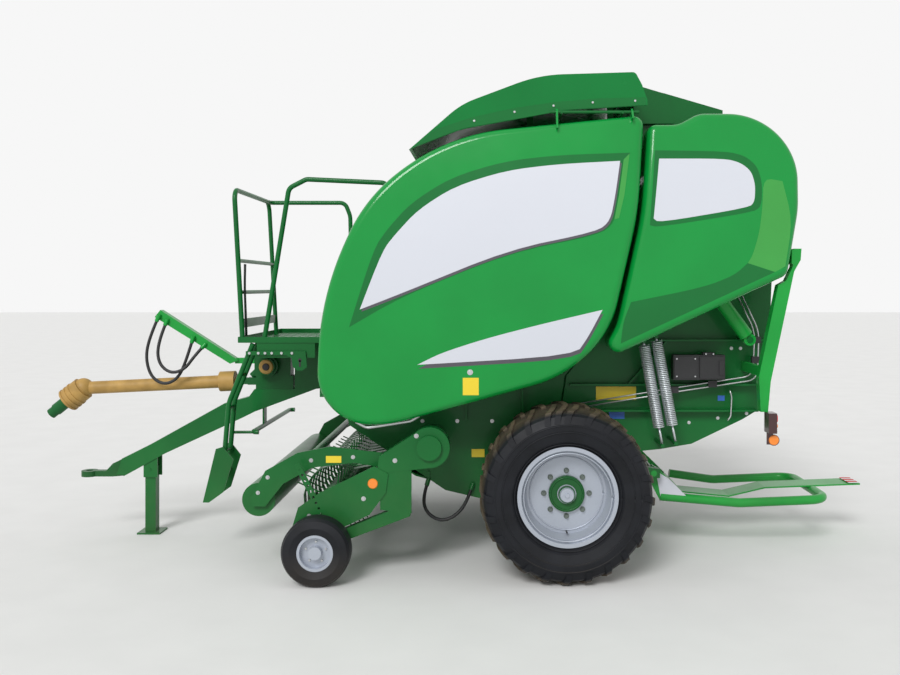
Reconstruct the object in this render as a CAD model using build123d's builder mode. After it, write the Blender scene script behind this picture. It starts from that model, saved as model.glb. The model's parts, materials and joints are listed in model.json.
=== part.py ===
from build123d import *
import math
import os

os.makedirs("parts", exist_ok=True)

# Round baler, in millimetres. +X is the rear, +Z up, and the machine's left side is -Y.
# Every X below is counted from the wheels' axle line; AXLE_X puts the origin under the middle.

# Overall reach
FRONT_REACH = 3672
REAR_REACH = 2180
AXLE_X = (FRONT_REACH - REAR_REACH) / 2
SEAT = 0.3
PIN_PLAY = 0.05

# Main wheels
TYRE_R = 528
TYRE_WIDTH = 560
TYRE_OUTER_Y = 1320
LUG_COUNT = 24
LUG_RING_R = 440
RIM_FLANGE_R = 300
RIM_WIDTH = 470
DISC_SET_IN = 130
DISC_T = 14
WHEEL_HOLES = 8
WHEEL_PCD = 275
WHEEL_HOLE_R = 11
HUB_R = 108
HUB_CAP_R = 50
SPINDLE_R = 45
AXLE_BEAM = 150
AXLE_BEAM_Y = 700

# Gauge wheels
GAUGE_R = 205
GAUGE_WIDTH = 165
GAUGE_RIM_R = 108
GAUGE_X = -1494
GAUGE_AXLE_R = 15

# Bale chamber
WALL_IN_Y = 610
WALL_T = 10
SPLIT_GAP = 12
HINGE_X = 480
HINGE_Z = 2880
HINGE_PIN_R = 25
ROLLER_PLAY = 4

# Hoods and rear side panels
HOOD_OUT_Y = 1200
HOOD_DEPTH = 330
REAR_PANEL_OUT_Y = 1150
REAR_PANEL_DEPTH = 250
PANEL_T = 8
PANEL_EDGE_R = 46
CROWN_R = 5200
CROWN_Z = 1750
HOOD_HINGE_Y = 1082
HOOD_HINGE_Z = 2846
HOOD_HINGE_R = 9

# Top cover
COVER_OUT_Y = 1050
COVER_T = 8

# Drawbar and jack
DRAWBAR_HALF = 60
EYE_X = -3367
EYE_Z = 426
EYE_BORE_R = 25
EYE_R = 58
EYE_T = 40
JACK_X = -2915
JACK_PIVOT_Z = 461
JACK_TUBE = 75

# Driveline
SHAFT_JOINT_X = -2250
SHAFT_JOINT_Z = 1095
GUARD_R = 45.5
YOKE_BORE_R = 17.5

# Pickup
PICKUP_PIVOT_X = -831
PICKUP_PIVOT_Z = 798
REEL_X = -1430
REEL_Z = 440
TINE_TIP_R = 268
REEL_HALF = 980
TINE_BARS = 5
TINES_PER_BAR = 16
PRESS_X = -1898
PRESS_Z = 456
PRESS_R = 103
PRESS_PIVOT_X = -1080
PRESS_PIVOT_Z = 700
SHIELD_OUT_Y = 1130
STRIP_HOLES = 9
BAND_R = 208
BAND_WIDTH = 70
BAND_T = 4
ROTOR_R = 262
TINE_PITCH = 2 * REEL_HALF / TINES_PER_BAR

# Kicker
KICKER_X = 640
KICKER_Z = 520
KICKER_TUBE_R = 31
KICKER_HALF = 400


# Helpers

def side_plane(y):
    """Plane of a side view seen from the left, with its origin under the axle."""
    return Plane(origin=(AXLE_X, y, 0), x_dir=(1, 0, 0), z_dir=(0, -1, 0))


def outline(points, y, radii=0):
    """Face of a side view outline at one place across the width."""
    with BuildSketch(side_plane(y)) as profile:
        with BuildLine():
            if radii == 0:
                Polyline(*points, close=True)
            else:
                FilletPolyline(*points, radius=radii, close=True)
        make_face()
    return profile.sketch


def side_prism(points, y_left, y_right, radii=0, mode=Mode.ADD):
    """Solid with a side view outline, from y_left to y_right."""
    extrude(outline(points, y_right, radii), amount=y_right - y_left, dir=(0, -1, 0), mode=mode)


def disc(x, z, radius, y_left, y_right, mode=Mode.ADD):
    """Round solid about an axis across the machine."""
    with BuildSketch(side_plane(y_right)) as profile:
        with Locations((x, z)):
            Circle(radius)
    extrude(profile.sketch, amount=y_right - y_left, dir=(0, -1, 0), mode=mode)


def at(x, y, z):
    """Point in the model's frame, X counted from the axle."""
    return Vector(AXLE_X + x, y, z)


def rod(start, end, radius, mode=Mode.ADD):
    """Straight round bar between two points, X counted from the axle."""
    first = at(*start)
    run = at(*end) - first
    with BuildSketch(Plane(origin=first, z_dir=run)) as section:
        Circle(radius)
    extrude(section.sketch, amount=run.length, dir=run.normalized(), mode=mode)


def bent_tube(points, radius, bends):
    """Tube along straight runs joined by arcs, X counted from the axle."""
    with BuildLine() as route:
        FilletPolyline(*[at(*point) for point in points], radius=bends)
    path = route.wire()
    with BuildSketch(Plane(origin=path @ 0, z_dir=path % 0)) as section:
        Circle(radius)
    sweep(section.sketch, path=path)


def block(x_low, x_high, y_low, y_high, z_low, z_high, mode=Mode.ADD):
    """Square block by its limits, X counted from the axle."""
    with BuildSketch(Plane.XY.offset(z_low)) as base:
        with Locations((AXLE_X + (x_low + x_high) / 2, (y_low + y_high) / 2)):
            Rectangle(x_high - x_low, y_high - y_low)
    extrude(base.sketch, amount=z_high - z_low, mode=mode)


def thick_line(points, thickness):
    """Closed outline of a sheet that follows a line, its thickness to the line's right."""
    inner = []
    for index, (x, z) in enumerate(points):
        before = points[max(index - 1, 0)]
        after = points[min(index + 1, len(points) - 1)]
        run_x, run_z = after[0] - before[0], after[1] - before[1]
        length = math.hypot(run_x, run_z)
        inner.append((x + run_z / length * thickness, z - run_x / length * thickness))
    return list(points) + inner[::-1]


def crown_body(side, out_y, set_in):
    """Great barrel whose outside is the crowned face of a side panel, set in by a depth."""
    centre_y = side * (out_y - CROWN_R)
    with BuildPart() as barrel:
        with BuildSketch(Plane(origin=(-4000, centre_y, CROWN_Z), z_dir=(1, 0, 0))):
            Circle(CROWN_R - set_in)
        extrude(amount=8000)
    return barrel.part


def save(solid, name):
    """Labels a finished piece and writes its file."""
    solid.label = name
    export_step(solid, f"parts/{name}.step")


def both_sides(solid, name):
    """Writes a piece of the left side and its mirror image on the right."""
    save(solid, f"{name}_left")
    save(mirror(solid, about=Plane.XZ), f"{name}_right")


# Hydraulic hoses' routes, and the couplers at their ends: x from the axle, y, z

HOSE_R = 11
COUPLER_R = 15
COUPLER_LENGTH = 45
HOSE_LONG = [(-2850, -97, 1530), (-2905, -100, 1400), (-2925, -104, 1260), (-2885, -106, 1130),
             (-2790, -106, 1075), (-2695, -104, 1120), (-2640, -100, 1240), (-2600, -97, 1375)]
HOSE_SHORT = [(-2790, -97, 1500), (-2835, -118, 1370), (-2825, -135, 1235), (-2740, -140, 1160),
              (-2640, -136, 1185), (-2570, -120, 1285), (-2530, -97, 1335)]
HOSE_UNDER = [(-880, -648, 470), (-905, -690, 385), (-870, -720, 300), (-780, -730, 255),
              (-690, -720, 285), (-620, -690, 360), (-590, -648, 440)]


def coupler(end, inward, foot_y, foot_rise=6):
    """Fitting that a hose's end leaves, in line with the hose, with a foot in to what carries it."""
    start = Vector(*end)
    far = start + (start - Vector(*inward)).normalized() * COUPLER_LENGTH
    rod(end, tuple(far), COUPLER_R)
    block(far.X - 10, far.X + 10, far.Y - 6, foot_y, far.Z - 16, far.Z + foot_rise)


# Main wheels, made on the left

wheel_out = -TYRE_OUTER_Y
wheel_mid = wheel_out + TYRE_WIDTH / 2
disc_y = wheel_mid - RIM_WIDTH / 2 + DISC_SET_IN

# Half section of the tyre out to its lugs' tips: distance from its middle, radius
TYRE_SECTION = [(224.7, 282.3), (224.7, 303), (262, 335), (279, 400), (280, 440), (268, 490), (240, 515),
                (150, 527)]
# The same between the lugs
TREAD_SECTION = [(224.7, 282.3), (224.7, 303), (262, 335), (279, 400), (279.5, LUG_RING_R), (257, 484), (228, 502),
                 (150, 513)]
# One lug laid flat, seen from above the crown: distance from the middle, way round the tyre
LUG_PLAN = [(-14, -16), (70, -12), (180, 8), (290, 52), (290, 88), (170, 40), (66, 18), (-14, 14)]


def ring_of(section, crown):
    """Solid of revolution of a half section and its mirror image, about the left wheel's axis."""
    near = list(section)
    far = [(-half, radius) for half, radius in reversed(section)]
    with BuildPart() as made:
        with BuildSketch(Plane(origin=(AXLE_X, wheel_mid, TYRE_R), x_dir=(0, 1, 0), z_dir=(1, 0, 0))):
            with BuildLine():
                Polyline(*near, (0, crown), *far, close=True)
            make_face()
        revolve(axis=Axis((AXLE_X, wheel_mid, TYRE_R), (0, 1, 0)))
    return made.part


full_tyre = ring_of(TYRE_SECTION, TYRE_R)
with BuildPart() as tyre:
    add(ring_of(TREAD_SECTION, TYRE_R - 14))
    with BuildPart(mode=Mode.PRIVATE) as lug:
        with BuildSketch(Plane(origin=(AXLE_X, wheel_mid, TYRE_R), x_dir=(0, 1, 0), z_dir=(0, 0, 1))) as plan:
            with BuildLine():
                Polyline(*LUG_PLAN, close=True)
            make_face()
        extrude(plan.sketch, amount=TYRE_R + 10, dir=(0, 0, 1))
        extrude(plan.sketch, amount=LUG_RING_R, dir=(0, 0, 1), mode=Mode.SUBTRACT)
        add(full_tyre, mode=Mode.INTERSECT)
    wheel_axis = Axis((AXLE_X, wheel_mid, TYRE_R), (0, 1, 0))
    pitch = 360 / LUG_COUNT
    other_side = mirror(lug.part, about=Plane.XZ.offset(-wheel_mid))
    for place in range(LUG_COUNT):
        add(lug.part.rotate(wheel_axis, place * pitch))
        add(other_side.rotate(wheel_axis, (place + 0.5) * pitch))
both_sides(tyre.part, "tyre")

# Section of the rim: place across the width, radius
RIM_SECTION = [
    (-235, RIM_FLANGE_R), (-225, RIM_FLANGE_R), (-225, 282), (-150, 276), (-110, 250), (110, 250), (160, 276),
    (225, 282), (225, RIM_FLANGE_R), (235, RIM_FLANGE_R), (235, 276), (168, 270), (118, 242), (-118, 242), (-158, 270),
    (-235, 276),
]
with BuildPart() as rim:
    with BuildSketch(Plane(origin=(AXLE_X, wheel_mid, TYRE_R), x_dir=(0, 1, 0), z_dir=(1, 0, 0))):
        with BuildLine():
            Polyline(*RIM_SECTION, close=True)
        make_face()
    revolve(axis=Axis((AXLE_X, wheel_mid, TYRE_R), (0, 1, 0)))
    disc(0, TYRE_R, 244, disc_y, disc_y + DISC_T)
    disc(0, TYRE_R, HUB_R + SEAT, disc_y - 1, disc_y + DISC_T + 1, mode=Mode.SUBTRACT)
    with BuildSketch(side_plane(disc_y + DISC_T)) as holes:
        with Locations((0, TYRE_R)):
            with PolarLocations(WHEEL_PCD / 2, WHEEL_HOLES):
                Circle(WHEEL_HOLE_R)
    extrude(holes.sketch, amount=DISC_T, dir=(0, -1, 0), mode=Mode.SUBTRACT)
both_sides(rim.part, "rim")

with BuildPart() as hub:
    disc(0, TYRE_R, HUB_R, disc_y - 30, disc_y + DISC_T)
    disc(0, TYRE_R, HUB_CAP_R, disc_y - 60, disc_y - 30)
    disc(0, TYRE_R, 165, disc_y + DISC_T, disc_y + DISC_T + 16)
    disc(0, TYRE_R, 90, disc_y + DISC_T + 16, -AXLE_BEAM_Y - SEAT)
    disc(0, TYRE_R, SPINDLE_R + PIN_PLAY, disc_y + 30, -AXLE_BEAM_Y, mode=Mode.SUBTRACT)
both_sides(hub.part, "hub")

with BuildPart() as axle_beam:
    half = AXLE_BEAM / 2
    block(-half, half, -AXLE_BEAM_Y, AXLE_BEAM_Y, TYRE_R - half, TYRE_R + half)
    for side in (-1, 1):
        near, far = sorted((side * AXLE_BEAM_Y, side * (-disc_y - 32)))
        disc(0, TYRE_R, SPINDLE_R, near, far)
        # Rails behind the beam that carry the kicker
        near, far = sorted((side * 500, side * 440))
        side_prism([(half - 1, 470), (half - 1, 590), (600, 560), (680, 550), (680, 490), (600, 480)],
                   near, far)
        disc(KICKER_X, KICKER_Z, 20 + PIN_PLAY, near - 1, far + 1, mode=Mode.SUBTRACT)
save(axle_beam.part, "axle_beam")

# Top cover over both hoods

# Outside of the cover in side view, with the radii that round it: x, z, radius
COVER_CORNERS = [
    (-961, 2621, 0), (-640, 2900, 500), (-160, 3080, 900), (432, 3098, 30), (473, 3021, 60),
    (506, 2925, 10), (506, 2893, 0), (0, 2862, 700), (-640, 2745, 500),
]
cover_points = [(x, z) for x, z, radius in COVER_CORNERS]
cover_radii = [radius for x, z, radius in COVER_CORNERS]
with BuildPart() as top_cover:
    side_prism(cover_points, -COVER_OUT_Y, COVER_OUT_Y, cover_radii)
    hollow_points = [(x, z - COVER_T) for x, z in cover_points[:3]] + [
        (400, 3088), (700, 3080), (700, 2700), (0, 2700), (-1000, 2500)]
    side_prism(hollow_points, -COVER_OUT_Y + COVER_T, COVER_OUT_Y - COVER_T,
               [0, 500, 900, 30, 0, 0, 0, 0], mode=Mode.SUBTRACT)
    # Fixed lip behind the cover
    side_prism(thick_line([(415, 3096.5), (465, 3096.5), (540, 3079), (640, 3049.5)], 6), -678, 678)
save(top_cover.part, "top_cover")

# Bale chamber: side walls, split along the hood's rear edge

# Front edge of the walls, which carries the front cover, from the platform up: x, z
FRONT_LINE = [(-1440, 1410), (-1425, 1700), (-1352, 1930), (-1225, 2160), (-1050, 2350), (-820, 2510),
              (-560, 2640), (-250, 2740)]
# Pins of the tailgate's lift cylinders: foot on the tailgate, rod's eye on the chassis
CYLINDER_Y = -830
EYE_HALF = 25
BARREL_FOOT = (1190, 1440)
ROD_EYE = (420, 2500)
# Spring pins on the tailgate: top x, z, foot x, z
SPRING_PINS = [(512, 1432, 633, 766), (591, 1461, 718, 781)]
SPRING_Y = -850

# Rear edge of the fixed wall, from the hinge down: x, z
SPLIT_LINE = [(452, 2835), (425, 2228), (245, 1450), (30, 1190), (0, 1000), (0, 640)]
with BuildPart() as chassis_wall:
    side_prism(
        SPLIT_LINE + [(75, 603.3), (-200, 603.3), (-530, 380), (-760, 435), (-1394, 864),
                      (-1440, 1060)] +
        [(x + SEAT, z - SEAT) for x, z in FRONT_LINE] +
        [(0, 2790), (330, 2820), (420, 2925), (500, 2925), (524, 2880), (500, 2845)],
        -WALL_IN_Y - WALL_T, -WALL_IN_Y)
    # Boss at the pickup's pivot
    disc(PICKUP_PIVOT_X, PICKUP_PIVOT_Z, 60, -WALL_IN_Y - WALL_T - 7.7, -WALL_IN_Y - WALL_T)
    # Posts up to the underside of the top cover
    for post_x, post_top in ((-200, 3051), (330, 3089)):
        block(post_x - 20, post_x + 20, -WALL_IN_Y - WALL_T, -WALL_IN_Y, 2700, post_top)
    disc(HINGE_X, HINGE_Z, HINGE_PIN_R, -WALL_IN_Y - 110, -WALL_IN_Y - WALL_T)
    # Boss that the rod's eye stands against
    disc(*ROD_EYE, 30, CYLINDER_Y + EYE_HALF + SEAT, -WALL_IN_Y - WALL_T)
    # Hinge of the hood, under the cover's lip
    rod((-90, -HOOD_HINGE_Y, HOOD_HINGE_Z), (450, -HOOD_HINGE_Y, HOOD_HINGE_Z), HOOD_HINGE_R)
    for arm_x in (-25, 350):
        block(arm_x - 6, arm_x + 6, -HOOD_HINGE_Y - 12, -WALL_IN_Y, HOOD_HINGE_Z - 12,
              HOOD_HINGE_Z + 5)
        block(arm_x - 6, arm_x + 6, -WALL_IN_Y - 60, -WALL_IN_Y, 2720, HOOD_HINGE_Z + 5)
    add(top_cover.part, mode=Mode.SUBTRACT)
    # Stiffening ribs on the outside
    for rib_x, rib_low, rib_high in ((-250, 640, 2600), (-620, 900, 2500), (-1000, 1100, 2250)):
        block(rib_x - 5, rib_x + 5, -WALL_IN_Y - 60, -WALL_IN_Y - WALL_T, rib_low, rib_high)
save(mirror(chassis_wall.part, about=Plane.XZ), "chassis_wall_right")
with BuildPart() as chassis_wall_left:
    add(chassis_wall.part)
    coupler(HOSE_UNDER[0], HOSE_UNDER[1], -WALL_IN_Y - 2, 50)
    coupler(HOSE_UNDER[-1], HOSE_UNDER[-2], -WALL_IN_Y - 2)
save(chassis_wall_left.part, "chassis_wall_left")

split_rear = [(x + SPLIT_GAP, z) for x, z in SPLIT_LINE]
with BuildPart() as tailgate_wall:
    side_prism(
        [(x, min(z, 2790)) for x, z in split_rear] +
        [(661, 705), (867, 740), (1200, 900), (1300, 960), (1363, 1045), (1400, 1890),
         (1400, 2430), (1340, 2610), (1200, 2760), (1016, 2820), (714, 2790)],
        -WALL_IN_Y - WALL_T, -WALL_IN_Y)
    # Ear that reaches over the chassis wall to the hinge pin
    side_prism([(440, 2850), (450, 2920), (510, 2920), (760, 2740), (640, 2650), (560, 2650)],
               -WALL_IN_Y - 50, -WALL_IN_Y - 30)
    block(590, 700, -WALL_IN_Y - 31, -WALL_IN_Y - WALL_T + 1, 2670, 2720)
    disc(HINGE_X, HINGE_Z, HINGE_PIN_R + PIN_PLAY, -WALL_IN_Y - 51, -WALL_IN_Y - 29,
         mode=Mode.SUBTRACT)
    # Ribs of the lower side plate
    for rib_z, rib_front, rib_rear in ((1420, 300, 1370), (1130, 60, 1360), (960, 40, 1290)):
        block(rib_front, rib_rear, -WALL_IN_Y - 80, -WALL_IN_Y - WALL_T, rib_z, rib_z + 12)
    disc(*BARREL_FOOT, 20, CYLINDER_Y - 32, -WALL_IN_Y - WALL_T)
    side_prism([(440, 1142), (456, 1142), (706, 1420), (688, 1420)], -WALL_IN_Y - 60, -WALL_IN_Y - WALL_T)
    for top_x, top_z, foot_x, foot_z in SPRING_PINS:
        disc(top_x, top_z, 12, SPRING_Y - 40, -WALL_IN_Y - WALL_T)
        disc(foot_x, foot_z, 12, SPRING_Y - 20, -WALL_IN_Y - WALL_T)
both_sides(tailgate_wall.part, "tailgate_wall")

# Hoods

# Corners of the hood's outline and the radius that rounds each: x, z, radius
HOOD_CORNERS = [
    (484, 2832, 60), (-725, 2705, 1250), (-1218, 2320, 1000), (-1484, 1722, 1900),
    (-1525, 935, 318), (-1073, 935, 800), (-77, 1209, 700), (255, 1450, 650), (435, 2228, 2000),
]
# Corners of the rear side panel's outline and their radii: x, z, radius
REAR_PANEL_CORNERS = [
    (512, 2779, 60), (700, 2779, 160), (830, 2850, 160), (1436, 2850, 415), (1422, 2250, 700),
    (1345, 1848, 70), (180, 1304, 60), (310, 1540, 400), (464, 2228, 1800),
]


def panel(corners, out_y, depth):
    """Moulded side panel of the left side: crowned face, round edge, open on the inside."""
    points = [(x, z) for x, z, radius in corners]
    radii = [radius for x, z, radius in corners]
    with BuildPart() as made:
        side_prism(points, -out_y, -out_y + depth, radii)
        add(crown_body(-1, out_y, 0), mode=Mode.INTERSECT)
        rim_edges = made.faces().sort_by(Axis.Y)[0].edges()
        fillet(rim_edges, radius=PANEL_EDGE_R)
    with BuildPart() as hollow:
        extrude(offset(outline(points, -out_y + depth, radii), amount=-PANEL_T, mode=Mode.PRIVATE),
                amount=depth + 10, dir=(0, -1, 0))
        add(crown_body(-1, out_y, PANEL_T), mode=Mode.INTERSECT)
        rim_edges = hollow.faces().sort_by(Axis.Y)[0].edges()
        fillet(rim_edges, radius=PANEL_EDGE_R - PANEL_T)
    return made.part - hollow.part


hood = panel(HOOD_CORNERS, HOOD_OUT_Y, HOOD_DEPTH)
with BuildPart() as hood_left:
    add(hood)
    # Hinge ears on the top edge
    for ear_x, ear_base in ((-60, 2740), (400, 2800)):
        with BuildSketch(Plane(origin=(AXLE_X + ear_x, 0, 0), x_dir=(0, 1, 0), z_dir=(1, 0, 0))) as ear:
            with BuildLine():
                Polyline((-HOOD_HINGE_Y - 60, ear_base), (-HOOD_HINGE_Y + 30, ear_base),
                         (-HOOD_HINGE_Y + 18, HOOD_HINGE_Z + 4), (-HOOD_HINGE_Y, HOOD_HINGE_Z + 20),
                         (-HOOD_HINGE_Y - 18, HOOD_HINGE_Z + 4), close=True)
            make_face()
        extrude(ear.sketch, amount=12)
    rod((-100, -HOOD_HINGE_Y, HOOD_HINGE_Z), (500, -HOOD_HINGE_Y, HOOD_HINGE_Z),
        HOOD_HINGE_R + PIN_PLAY, mode=Mode.SUBTRACT)
both_sides(hood_left.part, "hood")
with BuildPart() as rear_panel:
    add(panel(REAR_PANEL_CORNERS, REAR_PANEL_OUT_Y, REAR_PANEL_DEPTH))
    for stay_x, stay_z in ((960, 2350), (600, 1700)):
        rod((stay_x, -REAR_PANEL_OUT_Y + 50, stay_z), (stay_x, -WALL_IN_Y - WALL_T - SEAT, stay_z), 20)
        rod((stay_x, -REAR_PANEL_OUT_Y + 6, stay_z), (stay_x, -REAR_PANEL_OUT_Y + 56, stay_z), 20)
    add(crown_body(-1, REAR_PANEL_OUT_Y, 0), mode=Mode.INTERSECT)
both_sides(rear_panel.part, "rear_panel")

with BuildPart() as hood_handle:
    bent_tube([(-1283, -1080, 951), (-1215, -1080, 914), (-948, -1080, 955), (-897, -1080, 986)],
              11, [50, 50])
    side_prism([(x, z) for x, z, radius in HOOD_CORNERS], -HOOD_OUT_Y, -HOOD_OUT_Y + HOOD_DEPTH,
               [radius for x, z, radius in HOOD_CORNERS], mode=Mode.SUBTRACT)
both_sides(hood_handle.part, "hood_handle")

# Deflector behind the top cover

with BuildPart() as rear_deflector:
    side_prism(thick_line([(672, 3041), (1056, 2929)], 6), -690, 690)
    for side in (-1, 1):
        low, high = sorted((side * 690, side * 684))
        side_prism([(674, 3038), (1056, 2929), (1056, 2800), (702, 2800)], low, high)
    block(994, 1038, -690, 690, 2820 + SEAT, 2830)
save(rear_deflector.part, "rear_deflector")

# Front of the body, between the hoods

with BuildPart() as front_cover:
    side_prism(thick_line(FRONT_LINE, -8), -840, 840)
save(front_cover.part, "front_cover")

# Frame between the walls

with BuildPart() as cross_frame:
    block(-1570, -1450, -720, 720, 1060, 1400)
    block(-1525, -1495, -690, 690, 1090, 1370, mode=Mode.SUBTRACT)
    for side in (-1, 1):
        low, high = sorted((side * 640, side * (WALL_IN_Y + WALL_T + SEAT)))
        side_prism([(-1450, 1060), (-1450, 1400), (-1100, 1300), (-1100, 1100)], low, high)
    # Curved floor under the feed rotor
    arc = [(PICKUP_PIVOT_X + 290 * math.cos(math.radians(turn)),
            PICKUP_PIVOT_Z + 290 * math.sin(math.radians(turn))) for turn in range(225, 326, 20)]
    side_prism(thick_line(arc, 10), -WALL_IN_Y + SEAT, WALL_IN_Y - SEAT)
save(cross_frame.part, "cross_frame")

# Rollers and belts of the chamber

# Fixed rollers: x, z, radius
FRONT_ROLLERS = [(-430, 760, 105), (-150, 735, 95), (-1150, 1240, 110), (-1120, 1640, 60), (180, 2620, 90)]
ROLLER_T = 7
ROLLER_SHAFT_R = 30
BALANCE_HOLE_R = 12


def rollers(table, name):
    """Tube rollers with end discs and through shafts, from wall to wall."""
    ends = WALL_IN_Y - ROLLER_PLAY
    with BuildPart() as made:
        for roller_x, roller_z, roller_r in table:
            disc(roller_x, roller_z, roller_r, -ends, ends)
            disc(roller_x, roller_z, roller_r - ROLLER_T, -ends + 12, ends - 12, mode=Mode.SUBTRACT)
            hole_z = roller_z + (roller_r + ROLLER_SHAFT_R) / 2
            disc(roller_x, hole_z, BALANCE_HOLE_R, -ends, ends, mode=Mode.SUBTRACT)
            disc(roller_x, roller_z, ROLLER_SHAFT_R, -WALL_IN_Y, WALL_IN_Y)
    save(made.part, name)


rollers(FRONT_ROLLERS, "front_rollers")

REAR_ROLLERS = [(200, 790, 90), (1120, 1010, 80), (1280, 2380, 80), (760, 2680, 80)]
rollers(REAR_ROLLERS, "rear_rollers")

BELT_Y = ((-590, -205), (-192, 192), (205, 590))
FRONT_BELT_LINE = [(-1039.7, 1240), (-1059.7, 1640), (-880, 2080), (-480, 2420), (180, 2529.7)]
REAR_BELT_LINE = [(1200.8, 1010), (1360.8, 2380), (1360.8, 2430), (1330, 2470), (760, 2775)]
with BuildPart() as front_belts:
    for belt_left, belt_right in BELT_Y:
        side_prism(thick_line(FRONT_BELT_LINE, 8), belt_left, belt_right)
save(front_belts.part, "front_belts")
with BuildPart() as rear_belts:
    for belt_left, belt_right in BELT_Y:
        side_prism(thick_line(REAR_BELT_LINE, 8), belt_left, belt_right)
save(rear_belts.part, "rear_belts")

# Feed rotor behind the pickup

with BuildPart() as feed_rotor:
    disc(PICKUP_PIVOT_X, PICKUP_PIVOT_Z, 110, -590, 590)
    disc(PICKUP_PIVOT_X, PICKUP_PIVOT_Z, 40, -WALL_IN_Y + SEAT, WALL_IN_Y - SEAT)
    for index in range(12):
        star_y = -560 + index * 101
        turn = index * 20
        with BuildSketch(side_plane(star_y + 8)) as star:
            with Locations((PICKUP_PIVOT_X, PICKUP_PIVOT_Z)):
                with PolarLocations(0, 4, start_angle=turn):
                    with BuildLine(mode=Mode.PRIVATE) as tooth:
                        Polyline((0, -60), (ROTOR_R, -20), (ROTOR_R - 8, 30), (0, 60), close=True)
                    add(make_face(tooth.line.edges(), mode=Mode.PRIVATE))
        extrude(star.sketch, amount=8, dir=(0, -1, 0))
save(feed_rotor.part, "feed_rotor")

# Drawbar, hitch eye and jack

DRAWBAR = [(-3112, 541), (-2906, 644), (-2378, 937), (-2200, 985), (-2160, 1040), (-1870, 1040),
           (-1870, 1400), (-1570, 1400), (-1570, 1060),
           (-1717, 1042), (-2157, 879), (-2246, 835), (-2817, 571), (-3097, 416), (-3150, 430)]
with BuildPart() as drawbar:
    side_prism(DRAWBAR, -DRAWBAR_HALF, DRAWBAR_HALF)
    # Ears of the jack, with its pin, and the pocket that its tube stands in
    block(JACK_X - 48, JACK_X + 48, -40, 40, 400, 560, mode=Mode.SUBTRACT)
    for side in (-1, 1):
        low, high = sorted((side * 52, side * 42))
        side_prism([(JACK_X - 45, 405), (JACK_X - 45, 580), (JACK_X + 55, 600), (JACK_X + 55, 405)],
                   low, high)
    disc(JACK_X, JACK_PIVOT_Z, 10, -56, 56)
    # Hanger of the cross tube
    block(-2106, -2094, -40, 40, 775 + 16.5 + SEAT, 905)
save(drawbar.part, "drawbar")

with BuildPart() as hitch_eye:
    side_prism([(-3335, 406), (-3335, 446), (-3240, 446), (-3190, 500), (-3118, 535), (-3118, 412),
                (-3190, 406)], -30, 30)
    with BuildSketch(Plane.XY.offset(EYE_Z - EYE_T / 2)) as ring:
        with Locations((AXLE_X + EYE_X, 0)):
            Circle(EYE_R)
    extrude(ring.sketch, amount=EYE_T)
    with BuildSketch(Plane.XY.offset(EYE_Z - EYE_T / 2)) as ring_bore:
        with Locations((AXLE_X + EYE_X, 0)):
            Circle(EYE_BORE_R)
    extrude(ring_bore.sketch, amount=EYE_T, mode=Mode.SUBTRACT)
    side_prism(DRAWBAR, -DRAWBAR_HALF, DRAWBAR_HALF, mode=Mode.SUBTRACT)
save(hitch_eye.part, "hitch_eye")

with BuildPart() as jack:
    half = JACK_TUBE / 2
    block(JACK_X - half, JACK_X + half, -half, half, 12, JACK_PIVOT_Z + 20)
    block(JACK_X - 82, JACK_X + 82, -82, 82, 0, 12)
    disc(JACK_X, JACK_PIVOT_Z, 10 + PIN_PLAY, -half - 1, half + 1, mode=Mode.SUBTRACT)
save(jack.part, "jack")

# Gearbox and driveline

with BuildPart() as gearbox:
    side_prism([(-2160, 1135), (-2160, 1280), (-2110, 1330), (-1960, 1330), (-1900, 1270), (-1900, 1135)],
               -58, 58)
    disc(-2054, 1208, 75, -120, -58)
    disc(-2054, 1208, 60, -150, -120)
    disc(-2054, 1208, 75, 58, 120)
    block(-2150, -1880, -57, 57, 1040 + SEAT, 1136)
    # Input shaft and the fork of its joint
    rod((-2155, 0, 1165), (-2190, 0, 1130), 24)
    block(-2215, -2149, -32, 32, SHAFT_JOINT_Z - 26, SHAFT_JOINT_Z + 26)
    for side in (-1, 1):
        low, high = sorted((side * 32, side * 22))
        block(SHAFT_JOINT_X - 22, -2214, low, high, SHAFT_JOINT_Z - 22, SHAFT_JOINT_Z + 22)
    disc(SHAFT_JOINT_X, SHAFT_JOINT_Z, 10, -32, 32)
save(gearbox.part, "gearbox")

# Driveline, hinged at the gearbox: X and Z of its runs
SHAFT_BEND = (-3415, 1042)
TIP_TILT = math.radians(38.66)
YOKE_R = 38
YOKE_BORE_LENGTH = 90
# Way along the tilted end, counted from the bend, to the yoke's front face
YOKE_END = (FRONT_REACH - YOKE_R * math.sin(TIP_TILT) + SHAFT_BEND[0]) / math.cos(TIP_TILT)


def along_tip(way):
    """Point on the axis of the driveline's tilted front end."""
    return (SHAFT_BEND[0] - way * math.cos(TIP_TILT), 0, SHAFT_BEND[1] - way * math.sin(TIP_TILT))


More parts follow.
